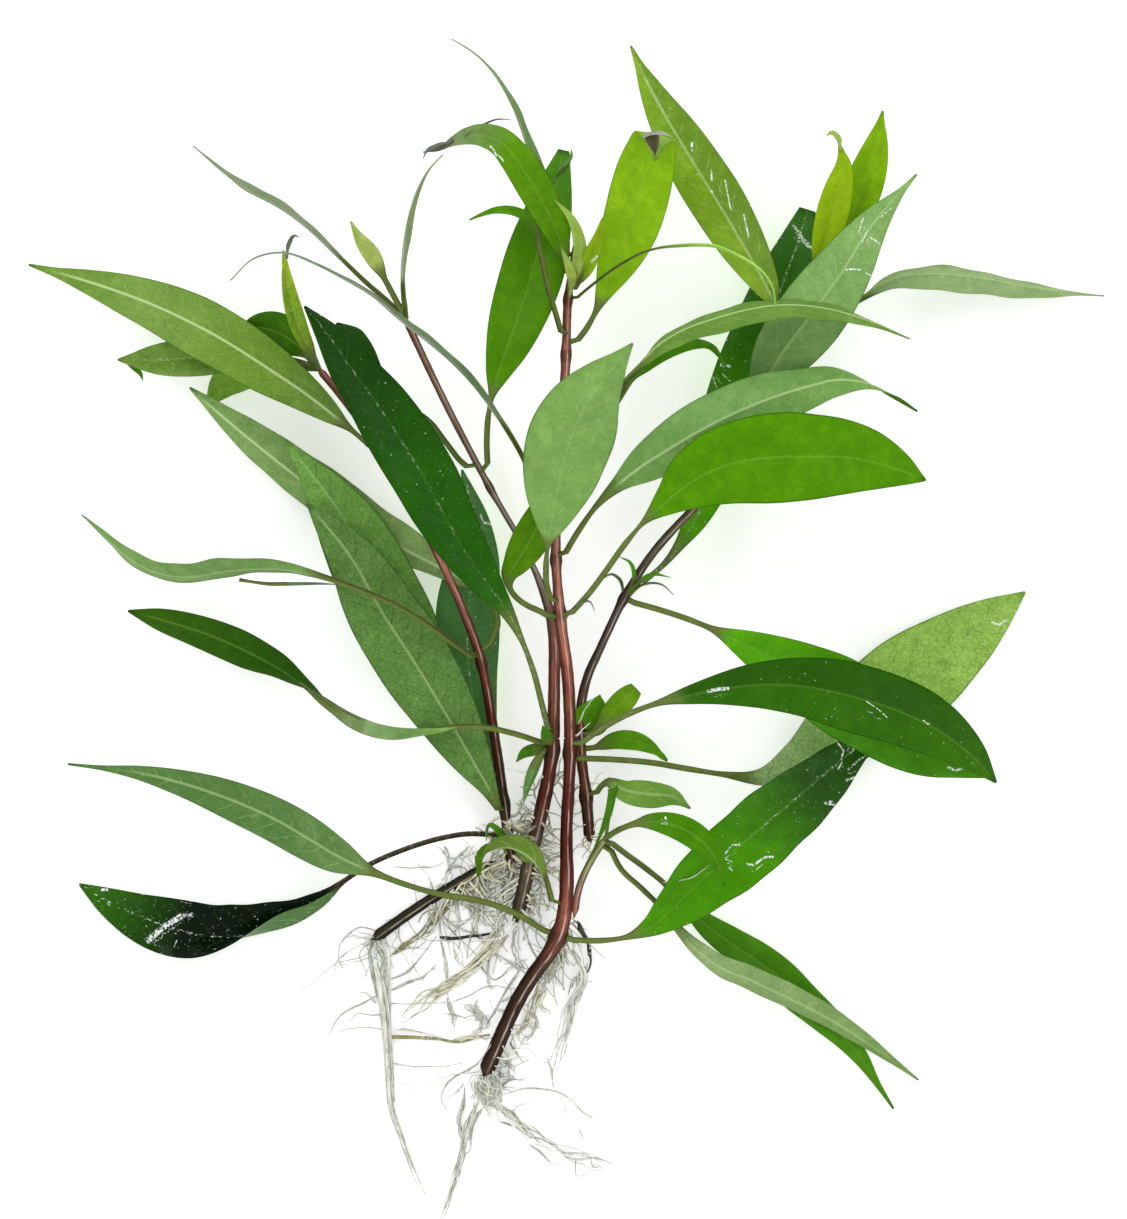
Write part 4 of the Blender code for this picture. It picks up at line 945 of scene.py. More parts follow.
        # Painted light and shade on the half-blades: left and right brighten or darken one half as the light
        # falls on it; tint is the blade's own colour, and the last rows are darker towards the tip.
        tint_and_painted_half_light = np.where((columns > 0)[..., None], self.look.left, self.look.right)
        tint_and_painted_half_light = tint_and_painted_half_light * np.array(self.look.tint)
        tint_and_painted_half_light = tint_and_painted_half_light * (1 - 0.4 * smoothstep(0.97, 1, rows)[:, None, None])
        tones = tones * tint_and_painted_half_light * (1 - waist[..., None]) + np.array(self.look.stalk.value) * waist[..., None]
        wet = np.interp(rows, np.linspace(0, 1, len(self.look.wet)), self.look.wet)
        gleam_side, gleam_end = self.gleam_fields(points[..., :2])
        values = {
            "along": run[:, None] * grid, "across": columns * half[:, None] * grid,
            "half": half[:, None] * grid,
            "stalk": waist * grid, "wet": wet[:, None] * grid, "net": self.look.net * grid,
            "rib": self.look.rib * grid, "leaf": (self.seed % 97) / 97 * grid,
            "gleam_side": gleam_side, "gleam_end": gleam_end,
        }
        slots = (np.arange(points.shape[1]) >= len(TOP_COLUMNS) - 1).astype(int)
        return mesh_of(self.name, [Skin(points, values, tones * grid[..., None], slots)], finishes)

    def gleam_fields(self, places: Array, reach: float = 1.7, away: float = 9.0) -> tuple[Array, Array]:
        """Where each place stands towards the nearest gleam, in half-widths of that gleam.

        Args:
            places: (rows, columns, 2) in mm in the frame.
            reach: mm beyond which a gleam isn't looked at.
            away: the number for places without one.

        Returns:
            The distance off the gleam's line, below 0 on its right, and the distance past its nearer end,
            below 0 along the gleam.
        """
        aside = np.full(places.shape[:-1], away)
        past = aside.copy()
        nearest = np.full(aside.shape, reach)
        for width, route in self.gleams:
            line = np.array(route) - PLANT_CENTRE
            knots = travelled(line)
            for start, end, before in zip(line[:-1], line[1:], knots):
                step = unit(end - start)
                ahead = (places - start) @ step
                held = np.clip(ahead, 0, np.linalg.norm(end - start))
                gap = np.linalg.norm(places - start - held[..., None] * step, axis=-1)
                closer = gap < nearest
                nearest = np.where(closer, gap, nearest)
                across = (places - start) @ np.array([-step[1], step[0]])
                beyond = np.maximum(-before - ahead, before + ahead - knots[-1])
                aside = np.where(closer, across / width * 2, aside)
                past = np.where(closer, beyond / width * 2, past)
        return aside, past

    @staticmethod
    def tones(tones: tuple[Tone, ...], rows: Array) -> Array:
        """The colour at each row, between tones that stand at even steps."""
        colours = np.array([tone.value for tone in tones])
        steps = np.linspace(0, 1, len(tones))
        return np.stack([np.interp(rows, steps, channel) for channel in colours.T], axis=1)


@dataclass
class Foliage:
    """All leaves that have a node."""

    looks: dict[str, LeafLook]
    gleams: dict[str, tuple[tuple[float, Route], ...]]
    attach: float = 4.0  # mm within which a stalk is drawn in to the stem's axis

    def build(self, finishes: list[bpy.types.Material]) -> None:
        """Puts each leaf in its node's place."""
        axes = np.concatenate([self.stem_line(name) for name in STEM_LOOKS])
        for number, (name, look) in enumerate(self.looks.items()):
            course = Midrib.of_node(name)
            gaps = np.linalg.norm(axes - course.middle[0], axis=1)
            base = axes[gaps.argmin()] if gaps.min() < self.attach else None
            gleams = self.gleams.get(name, ())
            leaf = Leaf(f"{name}_blade", course, look, seed=100 + 7 * number, base=base, gleams=gleams,
                        row_step=0.6 if gleams else 1.05)
            piece = leaf.build(finishes)
            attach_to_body(piece, "root")
            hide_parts(name)
            log.info("%s: %.0f mm long, %d faces", piece.name, leaf.course.length, len(piece.data.polygons))

    @staticmethod
    def stem_line(name: str) -> Array:
        """Points every half millimetre along a stem's axis."""
        axis, _ = node_axis(name, STEM_SIDES)
        knots = travelled(axis)
        return along(np.arange(0, knots[-1], 0.5), knots, axis)


@dataclass(frozen=True)
class Leaflet:
    """A small leaf with no node of its own: its course in mm from the plant's corner, and its look."""

    route: Route
    width: float
    look: LeafLook
    stalk: float = 0.1
    roll: tuple[float, ...] = (0,)
    fold: float = 15
    belly: float = 0.45


YOUNG_LOOK = LeafLook((Tone.SPRING,), (Tone.SPRING,), wave=0.1, net=0, stalk=Tone.SPRING)
GREEN_LOOK = LeafLook((Tone.GRASS,), (Tone.FERN,), wave=0.2, net=0.1)
DARK_LOOK = LeafLook((Tone.MOSS,), (Tone.SAGE,), wave=0.2, net=0.1)
HOOK_LOOK = LeafLook((Tone.SAGE, Tone.SLATE), (Tone.SAGE, Tone.SLATE), wave=0.1, net=0)
RIBBON_LOOK = LeafLook(
    (Tone.FERN, Tone.SILVER, Tone.FERN, Tone.MEADOW), (Tone.SAGE,), wave=0.5, net=0.2, rib=0.2)
SLATE_LOOK = LeafLook((Tone.SLATE,), (Tone.SLATE,), wave=0.1, net=0, rib=0, stalk=Tone.SLATE)
HUSK_LOOK = LeafLook((Tone.HUSK,), (Tone.HUSK,), wave=0.2, net=0, rib=0, stalk=Tone.HUSK)
ASH_LOOK = LeafLook((Tone.ASH,), (Tone.ASH,), wave=0.1, net=0, rib=0, stalk=Tone.ASH)

LEAFLETS: dict[str, Leaflet] = {
    "tip_leaflet_young": Leaflet(
        ((142.2, 230, 28), (143.3, 235, 36), (144.8, 243, 42), (142.8, 249.5, 44.5), (138.5, 254.5, 44)), 3.6,
        YOUNG_LOOK, roll=(20, 10)),
    "tip_leaflet_short": Leaflet(((142.5, 231, 30), (142.8, 236, 38), (140.3, 242.5, 42)), 2.6, YOUNG_LOOK),
    "round_leaf_neighbour": Leaflet(
        ((145, 119.6, 9.5), (147.2, 124, 11), (149, 128, 12), (150, 131.4, 12.5)), 9.5, GREEN_LOOK),
    "side_shoot_leaflet_hanging": Leaflet(
        ((151.5, 96.5, 23), (153.4, 108, 27), (152.6, 103, 29), (150.4, 97, 28), (147.8, 92, 26)),
        3.0, DARK_LOOK,
        roll=(30, 60)),
    "right_node_leaflet_left": Leaflet(
        ((156.2, 155.5, 18), (158.2, 160.5, 22), (157, 164.5, 25), (154.6, 165.8, 26)),
        2.4, GREEN_LOOK, roll=(60,)),
    "right_node_leaflet_hook": Leaflet(
        ((156, 155.8, 18), (154.8, 160, 20), (152.5, 161.3, 22), (150.6, 160.2, 23)),
        1.3, HOOK_LOOK, roll=(50,)),
    "right_node_leaflet_right": Leaflet(
        ((156.4, 155.6, 18), (159.5, 159.5, 21), (163.2, 161.6, 24), (167.5, 160.6, 25)),
        2.2, GREEN_LOOK, roll=(55,)),
    "right_node_leaflet_thin": Leaflet(
        ((156.4, 155.2, 18), (161, 159, 21), (165.5, 158.8, 23), (168.3, 156.2, 23)),
        1.0, HOOK_LOOK, roll=(60,)),
    "front_node_hook": Leaflet(
        ((140.5, 149.5, 24), (144, 153.4, 27), (147.5, 154.6, 29), (148.6, 152.3, 29)),
        1.0, HOOK_LOOK, roll=(60,)),
    "left_tip_hook": Leaflet(
        ((30.5, 215, 4.5), (33, 213.5, 4), (35.3, 211.3, 3.5), (35.8, 209.6, 3)), 1.5, GREEN_LOOK),
    "young_tip_hook": Leaflet(
        ((72, 240, 30.4), (72.6, 243.6, 31), (74, 245.6, 31.2), (75.3, 245.2, 31)), 1.2, SLATE_LOOK),
    "back_node_leaflet": Leaflet(
        ((138, 118.8, 14), (134.5, 117.8, 15.5), (131, 116.6, 16), (129, 114.5, 16)),
        3.4, DARK_LOOK, roll=(20,)),
    "back_node_leaflet_low": Leaflet(
        ((137.6, 119.5, 14), (135.2, 116, 16.5), (132.5, 110, 17.5), (130.8, 104, 17)),
        3.2, DARK_LOOK, roll=(150,)),
    "back_bud": Leaflet(((138, 118.5, 15), (136.5, 121.5, 18.5), (135.6, 123.8, 19.5)), 3.4, DARK_LOOK),
    "folded_tip_crease": Leaflet(
        ((162.8, 270.8, 45.4), (163.2, 269, 46), (163.5, 267, 46.2), (163.6, 265.0, 45.4)),
        4.6, HUSK_LOOK, 0.02,
        roll=(10,), fold=35, belly=0.2),
    "folded_tip_flap": Leaflet(
        ((160.6, 269.8, 46), (162.6, 270.7, 47), (165.4, 270.8, 47), (168, 269.8, 46)), 1.1, ASH_LOOK, 0.02,
        roll=(15,)),
    "arch_tip_hook": Leaflet(
        ((113.5, 268.8, 44.5), (109.5, 267.6, 42.5), (107, 266.4, 41), (106, 264.6, 40.5)), 1.8, SLATE_LOOK,
        roll=(50,)),
    "arch_tip_thread": Leaflet(
        ((116.5, 270, 46.5), (120.5, 272.6, 48.5), (124.5, 274.2, 49), (128, 274, 48.5)), 0.8, SLATE_LOOK,
        roll=(60,)),
    "torn_curl": Leaflet(
        ((138.5, 259, 26), (140.6, 262.6, 27.5), (142.4, 265, 27.5), (142.9, 267.2, 26)), 2.6, DARK_LOOK,
        roll=(30, 120), fold=40),
    "shoot_tip_hook": Leaflet(
        ((209.8, 267, 21.5), (209.3, 270, 21.5), (207.6, 271.4, 21), (206.2, 270.4, 20.5)), 1.6, YOUNG_LOOK,
        roll=(20,)),
    "wavy_leaf_sliver": Leaflet(
        ((60, 160, 9.5), (66, 159.2, 11), (73, 159.2, 14), (79.5, 159.2, 18), (85, 158.8, 22)),
        1.8, HOOK_LOOK,
        0.02, roll=(60,)),
    "twisted_stalk_ribbon": Leaflet(
        ((75, 134.3, 11.3), (81, 129.7, 13.2), (88.5, 124.6, 15.4), (97.5, 121.8, 18.4), (107.5, 122.2, 21.4),
         (115, 123.4, 23)), 3.8, RIBBON_LOOK, 0.02, roll=(5, -30, 10, -35, 0), fold=8),
    "rhizome_leaflet": Leaflet(
        ((126.5, 92, 12), (124.6, 96.5, 15), (122.4, 98.6, 16), (121.6, 95, 16.5)),
        4.6, GREEN_LOOK, roll=(20, 120)),
}


@dataclass
class Leaflets:
    """The small leaves that have no node, each on the stem's leaf node that it grows from."""

    leaflets: dict[str, Leaflet]

    def build(self, finishes: list[bpy.types.Material]) -> None:
        """Builds each one with the same surface as the large leaves, with fewer rows."""
        for number, (name, small) in enumerate(self.leaflets.items()):
            course = Midrib.of_route(small.route, small.width, small.stalk, small.roll, small.fold,
                                     small.belly)
            leaf = Leaf(name, course, small.look, seed=500 + 3 * number, rib_reach=0.2, rib_width=0.3,
                        groove=0.05, quilting=0.04, row_step=0.6)
            piece = leaf.build(finishes)
            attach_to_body(piece, "root")
        log.info("%d leaflets", len(self.leaflets))


# Stems


@dataclass(frozen=True)
class StemLook:
    """Colours at even steps up a stem."""

    tones: tuple[Colour, ...]


PINK = (0.50, 0.20, 0.145)
ROSE = (0.33, 0.10, 0.065)
RUSSET = (0.18, 0.055, 0.025)
MAROON = (0.110, 0.018, 0.008)
UMBER = (0.060, 0.030, 0.012)
SOOT = (0.050, 0.026, 0.012)
SLATE = (0.090, 0.075, 0.055)
TAUPE = (0.28, 0.18, 0.12)
DUN = (0.17, 0.14, 0.08)
# A painted sheen, pale grey, on the back stem a little past its middle.
PAINTED_SHEEN = (0.46, 0.43, 0.40)
FRESH = (0.22, 0.30, 0.08)
BARK = (0.038, 0.036, 0.014)

STEM_LOOKS: dict[str, StemLook] = {
    "front_stem": StemLook((SOOT, SOOT, UMBER, ROSE, MAROON, MAROON, RUSSET, ROSE, PINK, PINK, PINK, ROSE,
                            PINK, ROSE, FRESH)),
    "back_stem": StemLook((BARK, DUN, MAROON, RUSSET, ROSE, TAUPE, PAINTED_SHEEN, TAUPE, TAUPE, TAUPE, RUSSET)),
    "left_stem": StemLook((UMBER, UMBER, MAROON, RUSSET, PINK, PINK, PINK, ROSE)),
    "right_stem": StemLook((UMBER, RUSSET, SLATE, SLATE, DUN, ROSE, DUN, UMBER)),
    "side_shoot": StemLook((ROSE, TAUPE, FRESH, FRESH)),
    "rhizome": StemLook((BARK, BARK, BARK)),
}


@dataclass
class Stem:
    """One stem: a fluted, slightly crooked round that swells at its leaf nodes."""

    name: str
    look: StemLook
    seed: int
    sides: int = 28
    step: float = 0.55
    flutes: float = 0.035

    def build(self, finish: bpy.types.Material) -> bpy.types.Object:
        """Sweeps the ring radius * (1 + flutes * cos 4t + slow noise) along the axis read from the node."""
        axis, radius = node_axis(self.name, STEM_SIDES)
        knots = travelled(axis)
        run = np.linspace(0, knots[-1], int(knots[-1] / self.step))
        line = along(run, knots, axis)
        girth = along(run, knots, radius[:, None])[:, 0]
        turn = np.linspace(0, 2 * np.pi, self.sides, endpoint=False)[None]
        lumps = 0.03 * ripple(run, (9.0, 4.1, 17.0), self.seed)[:, None]
        section = girth[:, None] * (1 + self.flutes * np.cos(4 * turn) + lumps)
        ends = (0.3 + 0.7 * smoothstep(0, 2.5, np.minimum(run, run[-1] - run)))[:, None]
        points = tubes(line[None], (section * ends)[None], self.sides)[0]
        smooth = np.interp(run, knots, radius)
        rolling = np.convolve(np.pad(smooth, 12, mode="edge"), np.ones(25) / 25, mode="valid")
        node = np.clip((girth / rolling - 1) * 8, 0, 1)
        colours = np.array(self.look.tones)
        steps = np.linspace(0, 1, len(colours))
        tone = np.stack([np.interp(run / run[-1], steps, channel) for channel in colours.T], 1)
        grid = np.ones_like(section)
        aside = unit(np.cross((0, 0, 1), np.gradient(line, axis=0)))
        flank = np.sum((points - line[:, None]) * aside[:, None], axis=-1) / section
        crown = (points[..., 2] - line[:, None, 2]) / section
        values = {"along": run[:, None] * grid, "turn": turn * grid, "node": node[:, None] * grid,
                  "crown": crown, "flank": flank}
        return mesh_of(f"{self.name}_skin", [Skin(points, values, tone[:, None] * grid[..., None])], [finish])


@dataclass
class Stems:
    """The stems, the side shoot and the old creeping stem."""

    looks: dict[str, StemLook]

    def build(self) -> None:
        """Puts each stem in its node's place."""
        finish = StemFinish("stem_skin", streak=(0.5, 0.42, 0.4), scar=(0.03, 0.015, 0.008)).make()
        for number, (name, look) in enumerate(self.looks.items()):
            piece = Stem(name, look, seed=900 + number).build(finish)
            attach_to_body(piece, "root")
            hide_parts(name)
            log.info("%s: %d faces", piece.name, len(piece.data.polygons))


# Roots


class RootTone(Enum):
    """Colours of roots, linear."""

    CREAM = (0.80, 0.78, 0.58)
    PALE = (0.80, 0.82, 0.73)
    GREY = (0.60, 0.62, 0.55)
    GREEN = (0.27, 0.27, 0.11)
    DARK = (0.035, 0.028, 0.015)


@dataclass(frozen=True)
class Strand:
    """Roots that run together: a route in mm from the plant's corner, and the fibres round it.

    spread is how far the fibres lie from the route, thickness their radius at the start and lift the
    height at which they start, in mm. A level strand keeps that height, and others sink to the table.
    """

    route: Route
    fibres: int = 1
    spread: float = 0.0
    thickness: float = 0.2
    wander: float = 0.5
    lift: float = 1.0
    tone: RootTone = RootTone.PALE
    level: bool = False

    def line(self) -> Array:
        """The route in the frame, (points, 3) in mm."""
        flat = np.array(self.route)
        share = np.linspace(1, 0, len(flat)) if not self.level else np.ones(len(flat))
        return from_photo_corner(np.column_stack([flat, 0.25 + self.lift * share**1.5]))


@dataclass(frozen=True)
class Fringe:
    """Fine roots that spring from a stretch of a stem.

    first and last are shares of the stem's length, heading the direction in degrees from +X in which
    the roots leave, give or take fan, and lengths their least and greatest length in mm.
    """

    stem: str
    first: float
    last: float
    count: int
    heading: float
    fan: float
    lengths: tuple[float, float]
    thickness: float = 0.14
    tone: RootTone = RootTone.GREY
    rise: float = 1.6  # mm up to which a root may arch over its neighbours


NODE_STRANDS: dict[str, Strand] = {
    "root_bundle_left": Strand((), 18, 1.5, 0.32, 0.4),
    "root_bundle_middle": Strand((), 10, 1.3, 0.28, 0.8),
    "root_bundle_right": Strand((), 6, 1.3, 0.25, 2.2),
    "root_bundle_centre": Strand((), 12, 1.7, 0.34, 1.6, tone=RootTone.CREAM),
    "root_tuft_front": Strand((), 12, 1.8, 0.30, 1.2),
}

LOOSE_STRANDS: dict[str, tuple[Strand, ...]] = {
    "left": (
        Strand(((94.1, 71), (92.5, 68.1), (92.9, 63), (94.1, 57.9), (95.7, 51.5), (96.6, 45.8), (97, 39.4)),
               5, 0.5, 0.2, 0.5, 1.2, RootTone.GREY),
        Strand(((96, 71.3), (97.3, 66.8), (97.4, 60.5), (97.4, 54.1), (97.4, 45.8), (97.6, 36.2),
                (98.1, 26.7)),
               5, 0.5, 0.2, 0.5, 1.2),
        Strand(((93.5, 72.6), (90, 73.2), (87.1, 71.3), (84.9, 68.1), (84.7, 65.2), (85.8, 62.7)),
               2, 0.3, 0.15, 0.3, 2.2, RootTone.GREY),
        Strand(((93.2, 70), (90, 68.8), (86.5, 66.8), (83.9, 64.3), (83.2, 61.7), (83, 59.2)),
               2, 0.3, 0.12, 0.3, 1.2, RootTone.GREY),
        Strand(((92.9, 65.6), (89, 64.6), (85.8, 64), (83.6, 63.3)), 1, 0, 0.13, 0.3, 0.8, RootTone.GREY),
        Strand(((94.1, 56), (90.3, 54.2), (87.1, 52.5), (84.6, 50.3), (82, 46.7)),
               3, 0.35, 0.17, 0.3, 0.8, RootTone.GREY),
        Strand(((94.1, 54.4), (91.9, 56.3), (90, 57.1)), 2, 0.3, 0.17, 0.3, 0.8, RootTone.GREY),
        Strand(((95.7, 51.5), (93.2, 51.2), (89, 51.4), (88.1, 49.9), (86.5, 49.3)),
               1, 0, 0.13, 0.3, 0.6, RootTone.GREY),
        Strand(((96.4, 47.4), (92.2, 48), (87.8, 47.9), (84.4, 46.9)),
               2, 0.25, 0.12, 0.2, 0.6, RootTone.GREY),
        Strand(((97.3, 65.6), (100.5, 68.4), (103.4, 70.3), (106.2, 72.9), (108.8, 76.1), (111.7, 79)),
               4, 0.6, 0.19, 0.8, 0.9, RootTone.GREEN),
        Strand(((97.3, 60.1), (101.8, 62.2), (104.7, 65.1), (107.2, 67.8), (109.1, 71)),
               3, 0.35, 0.17, 0.5, 0.7, RootTone.GREY),
        Strand(((97.6, 57.4), (101.8, 59.2), (105, 60.6), (107.2, 62.2), (109.1, 63.6)),
               3, 0.35, 0.19, 0.5, 0.7, RootTone.GREY),
        Strand(((97.3, 66.2), (100.5, 67.3), (104, 68.1), (106.9, 70)),
               2, 0.4, 0.13, 0.5, 0.7, RootTone.GREY),
        Strand(((97.3, 54.1), (101.8, 54.1), (106.2, 54.3), (111.4, 54.3)),
               1, 0, 0.13, 0.3, 0.6, RootTone.GREY),
        Strand(((95.7, 45.8), (99.9, 45.9), (105, 45.7), (109.4, 45.4), (114.5, 44.6), (119.6, 45.8),
                (122.5, 46.3)),
               3, 0.3, 0.3, 0.3, 1.0, RootTone.GREEN),
        Strand(((113.3, 45), (117.1, 45.8), (119.6, 46.1), (122.2, 45.8)),
               4, 0.7, 0.26, 0.6, 1.2, RootTone.CREAM),
        Strand(((98.9, 47.6), (102.4, 47.7), (106.2, 46.7), (110.7, 45.8)),
               2, 0.25, 0.14, 0.3, 0.6, RootTone.GREY),
        Strand(((98.3, 39.1), (103.1, 38.5), (108.2, 38.4), (113.3, 38.7), (115.8, 39.1)),
               1, 0, 0.14, 0.2, 0.5, RootTone.GREY),
        Strand(((94.1, 70), (96, 66.8), (96, 61.7), (96.4, 55.4)), 6, 1.2, 0.17, 0.8, 1.0),
        Strand(((100.5, 34.6), (102.1, 33.4), (103.1, 32.1)), 1, 0, 0.1, 0.2, 0.4, RootTone.GREY),
    ),
    "centre": (
        Strand(((109.9, 70.7), (113.3, 70.3), (117.1, 70.9), (121.2, 71.3), (123.8, 72.4), (125.7, 74)),
               1, 0, 0.34, 0.3, 2.2, RootTone.DARK),
        Strand(((126, 74.5), (123.5, 71), (120.4, 66.8), (116.5, 62.7), (112.9, 59.2), (107.8, 56)),
               10, 1.1, 0.26, 0.9, 2.0, RootTone.CREAM),
        Strand(((113.3, 59.2), (111.4, 57.6), (109.4, 57), (106.9, 56)),
               8, 0.9, 0.2, 1.0, 0.8, RootTone.CREAM),
        Strand(((115.2, 80.5), (112.6, 79), (110.1, 76.4), (108.2, 73.9), (105.6, 72.3), (102.4, 70.7)),
               5, 0.8, 0.24, 0.9, 1.6, RootTone.GREEN),
        Strand(((119.6, 84.7), (116.5, 82.8), (113.9, 80.9), (110.7, 78), (109.4, 74.5)),
               6, 1.0, 0.2, 1.0, 2.2, RootTone.CREAM),
        Strand(((110.7, 79), (109.8, 74.5), (110.1, 69.4), (111.4, 64.3), (112, 59.2)),
               3, 0.5, 0.14, 0.8, 1.2, RootTone.GREY),
        Strand(((110.4, 69.4), (110.7, 65.6), (111.7, 61.7), (112, 56)),
               3, 0.6, 0.15, 0.8, 0.8, RootTone.GREY),
        Strand(((112, 56), (112.6, 52.8), (113.3, 49.6), (113.1, 46.7)),
               5, 0.7, 0.16, 0.8, 0.6, RootTone.GREY),
        Strand(((113.3, 69.4), (113.9, 66.2), (116.5, 63.6), (119, 61.7)),
               2, 0.5, 0.13, 0.8, 0.7, RootTone.GREY),
        Strand(((116.1, 54.1), (119, 51.5), (120, 49), (119, 46.1)), 6, 0.9, 0.16, 1.0, 0.6, RootTone.GREY),
        Strand(((119.6, 55.4), (119, 52.8), (121.9, 49.6), (119.6, 47.1)),
               5, 0.9, 0.15, 1.0, 0.6, RootTone.GREY),
        Strand(((110.7, 51.5), (114.5, 51), (118.4, 50.6), (122.2, 50.8)),
               2, 0.5, 0.13, 0.6, 0.5, RootTone.GREY),
        Strand(((113.3, 54.6), (117.1, 56), (120.9, 57.9), (124.7, 58.4), (128.9, 58.2)),
               2, 0.3, 0.14, 0.5, 0.7, RootTone.GREY),
        Strand(((121.4, 48.2), (124.4, 53.4), (127, 58.2), (129.2, 61.7), (131.1, 64.3)),
               3, 0.25, 0.17, 0.3, 1.4, RootTone.GREY),
        Strand(((119, 65.2), (122.2, 66.7), (126, 65.4), (129.5, 63.5), (132.7, 62.5)),
               2, 0.3, 0.14, 0.4, 1.2, RootTone.GREY),
        Strand(((119.6, 65.6), (120.9, 62.4), (123.8, 60.1), (127.9, 63.3), (131.4, 65.6)),
               2, 0.4, 0.14, 0.7, 1.2, RootTone.GREY),
        Strand(((122.5, 68.8), (122.7, 64.3), (122.1, 60.5), (122.7, 57.4)),
               3, 0.5, 0.14, 0.7, 1.0, RootTone.GREY),
        Strand(((117.7, 74.5), (119, 71.3), (122.5, 68.1), (125.4, 64.3)),
               3, 0.6, 0.14, 0.8, 1.2, RootTone.GREY),
        Strand(((129.2, 73.2), (128.6, 69.4), (129.2, 65.6), (130.5, 61.7)),
               4, 0.8, 0.15, 0.9, 1.6, RootTone.GREY),
        Strand(((122.2, 85.3), (121, 80.9), (120.7, 77), (121, 73.2)),
               3, 0.4, 0.17, 0.6, 2.6, RootTone.GREY),
        Strand(((125.4, 85.3), (125.5, 81.5), (126, 78.3), (125.4, 74.5)),
               4, 0.6, 0.2, 0.7, 2.6, RootTone.CREAM),
        Strand(((119, 80.9), (118.5, 77.7), (117.1, 74.8), (113.3, 72.6)),
               3, 0.6, 0.17, 0.8, 2.0, RootTone.GREY),
        Strand(((114.5, 82.8), (117.1, 79), (119.6, 75.8), (120.6, 73.2)),
               3, 0.6, 0.15, 0.8, 1.6, RootTone.GREY),
        Strand(((109.4, 77.7), (113.3, 74.5), (117.1, 72.6), (122.2, 70)),
               3, 0.7, 0.15, 0.8, 1.2, RootTone.GREY),
        Strand(((130.5, 90.4), (126, 89), (122.5, 86.3), (119, 84.4), (114.5, 83.3)),
               8, 1.0, 0.26, 1.0, 5.0, RootTone.CREAM),
        Strand(((129.8, 87.2), (126, 86), (122.2, 83.7), (119, 80.9), (115.8, 78.3)),
               8, 1.2, 0.22, 1.2, 4.0),
        Strand(((131.1, 88.5), (131.4, 85.3), (129.8, 81.5), (127.9, 79), (126, 77)),
               7, 1.0, 0.24, 1.0, 5.0),
        Strand(((132.4, 87.9), (130.5, 84.1), (128.3, 80.9), (126.3, 79), (126, 75.1)),
               5, 0.8, 0.22, 0.8, 4.0, RootTone.CREAM),
        Strand(((135.6, 89.8), (136.2, 86), (137.8, 82.1), (138.1, 77.7)),
               4, 0.6, 0.18, 0.8, 7.0, RootTone.CREAM),
        Strand(((110.7, 94.3), (111.5, 91.1), (112.6, 87.9), (113.3, 85)),
               3, 0.5, 0.15, 0.7, 1.2, RootTone.GREY),
        Strand(((117.4, 93.3), (114.2, 90.4), (112.3, 87.6), (111, 84.7)),
               3, 0.5, 0.15, 0.6, 1.2, RootTone.GREY),
        Strand(((116.1, 91.4), (113.3, 90.4), (110.7, 91.7), (109.1, 93.1)),
               2, 0.4, 0.14, 0.5, 1.0, RootTone.GREY),
        Strand(((98.3, 88.3), (103.1, 88.1), (107.5, 88.4), (111, 89.3)),
               2, 0.25, 0.12, 0.4, 0.6, RootTone.GREY),
        Strand(((111.4, 87.2), (113.3, 88.5), (115.8, 87.9), (117.7, 86.3)),
               3, 0.5, 0.14, 0.7, 1.4, RootTone.GREY),
    ),
    "stem": (
        Strand(((125.4, 100), (129.8, 97.3), (134.3, 95.4), (139.1, 94.1)),
               3, 0.4, 0.3, 0.5, 20, RootTone.CREAM),
        Strand(((122.2, 96.2), (126, 93.9), (131.1, 93.6), (135.6, 90.4)),
               4, 0.6, 0.24, 0.8, 20, RootTone.CREAM),
        Strand(((131.8, 97.4), (135.6, 98.6), (139.1, 98.2)), 2, 0.4, 0.22, 0.5, 19, RootTone.CREAM),
        Strand(((131.1, 96.2), (135.6, 94.6), (139.7, 92.9)), 3, 0.5, 0.24, 0.6, 18, RootTone.CREAM),
        Strand(((132.7, 93.6), (136.2, 90.8), (139.1, 89.8)), 4, 0.6, 0.22, 0.6, 16, RootTone.CREAM),
        Strand(((133, 91.7), (136.5, 88.5), (139.4, 86.9), (140.4, 83.7)),
               4, 0.6, 0.22, 0.7, 14, RootTone.CREAM),
        Strand(((134.3, 89.2), (137.8, 87.6), (140.7, 84.1)), 3, 0.5, 0.22, 0.6, 12, RootTone.CREAM),
        Strand(((126, 98.7), (128.6, 94.9), (127.3, 91.7), (124.1, 89.2)),
               5, 0.9, 0.22, 1.0, 16, RootTone.CREAM),
        Strand(((132.4, 94.3), (129.8, 92.3), (126, 91.1), (122.8, 91.1)),
               5, 0.8, 0.22, 0.9, 13, RootTone.CREAM),
    ),
    "front": (
        Strand(((137.8, 68.1), (136.5, 64.3), (135.6, 61.1), (137.2, 59.2)), 10, 1.3, 0.26, 0.8, 6.0),
        Strand(((141.3, 67.8), (139.4, 64.9), (137.8, 61.7), (136.2, 59.2), (134.3, 56.6)),
               12, 1.4, 0.25, 0.9, 5.0),
        Strand(((143.2, 67.5), (144.8, 64.3), (145.8, 62.4), (143.9, 59.2)), 5, 0.6, 0.24, 0.6, 5.0),
        Strand(((147.1, 64.3), (146.1, 62.4), (143.9, 60.5), (142.3, 56)),
               4, 0.5, 0.17, 0.6, 3.0, RootTone.GREY),
        Strand(((136.2, 59.2), (134.3, 55.4), (132.7, 52.2), (130.8, 49), (129.2, 45.8)),
               10, 1.3, 0.22, 1.0, 3.0, RootTone.CREAM),
        Strand(((134.3, 55.4), (136.2, 52.5), (137.8, 51.2)), 3, 0.6, 0.16, 0.6, 1.6, RootTone.GREY),
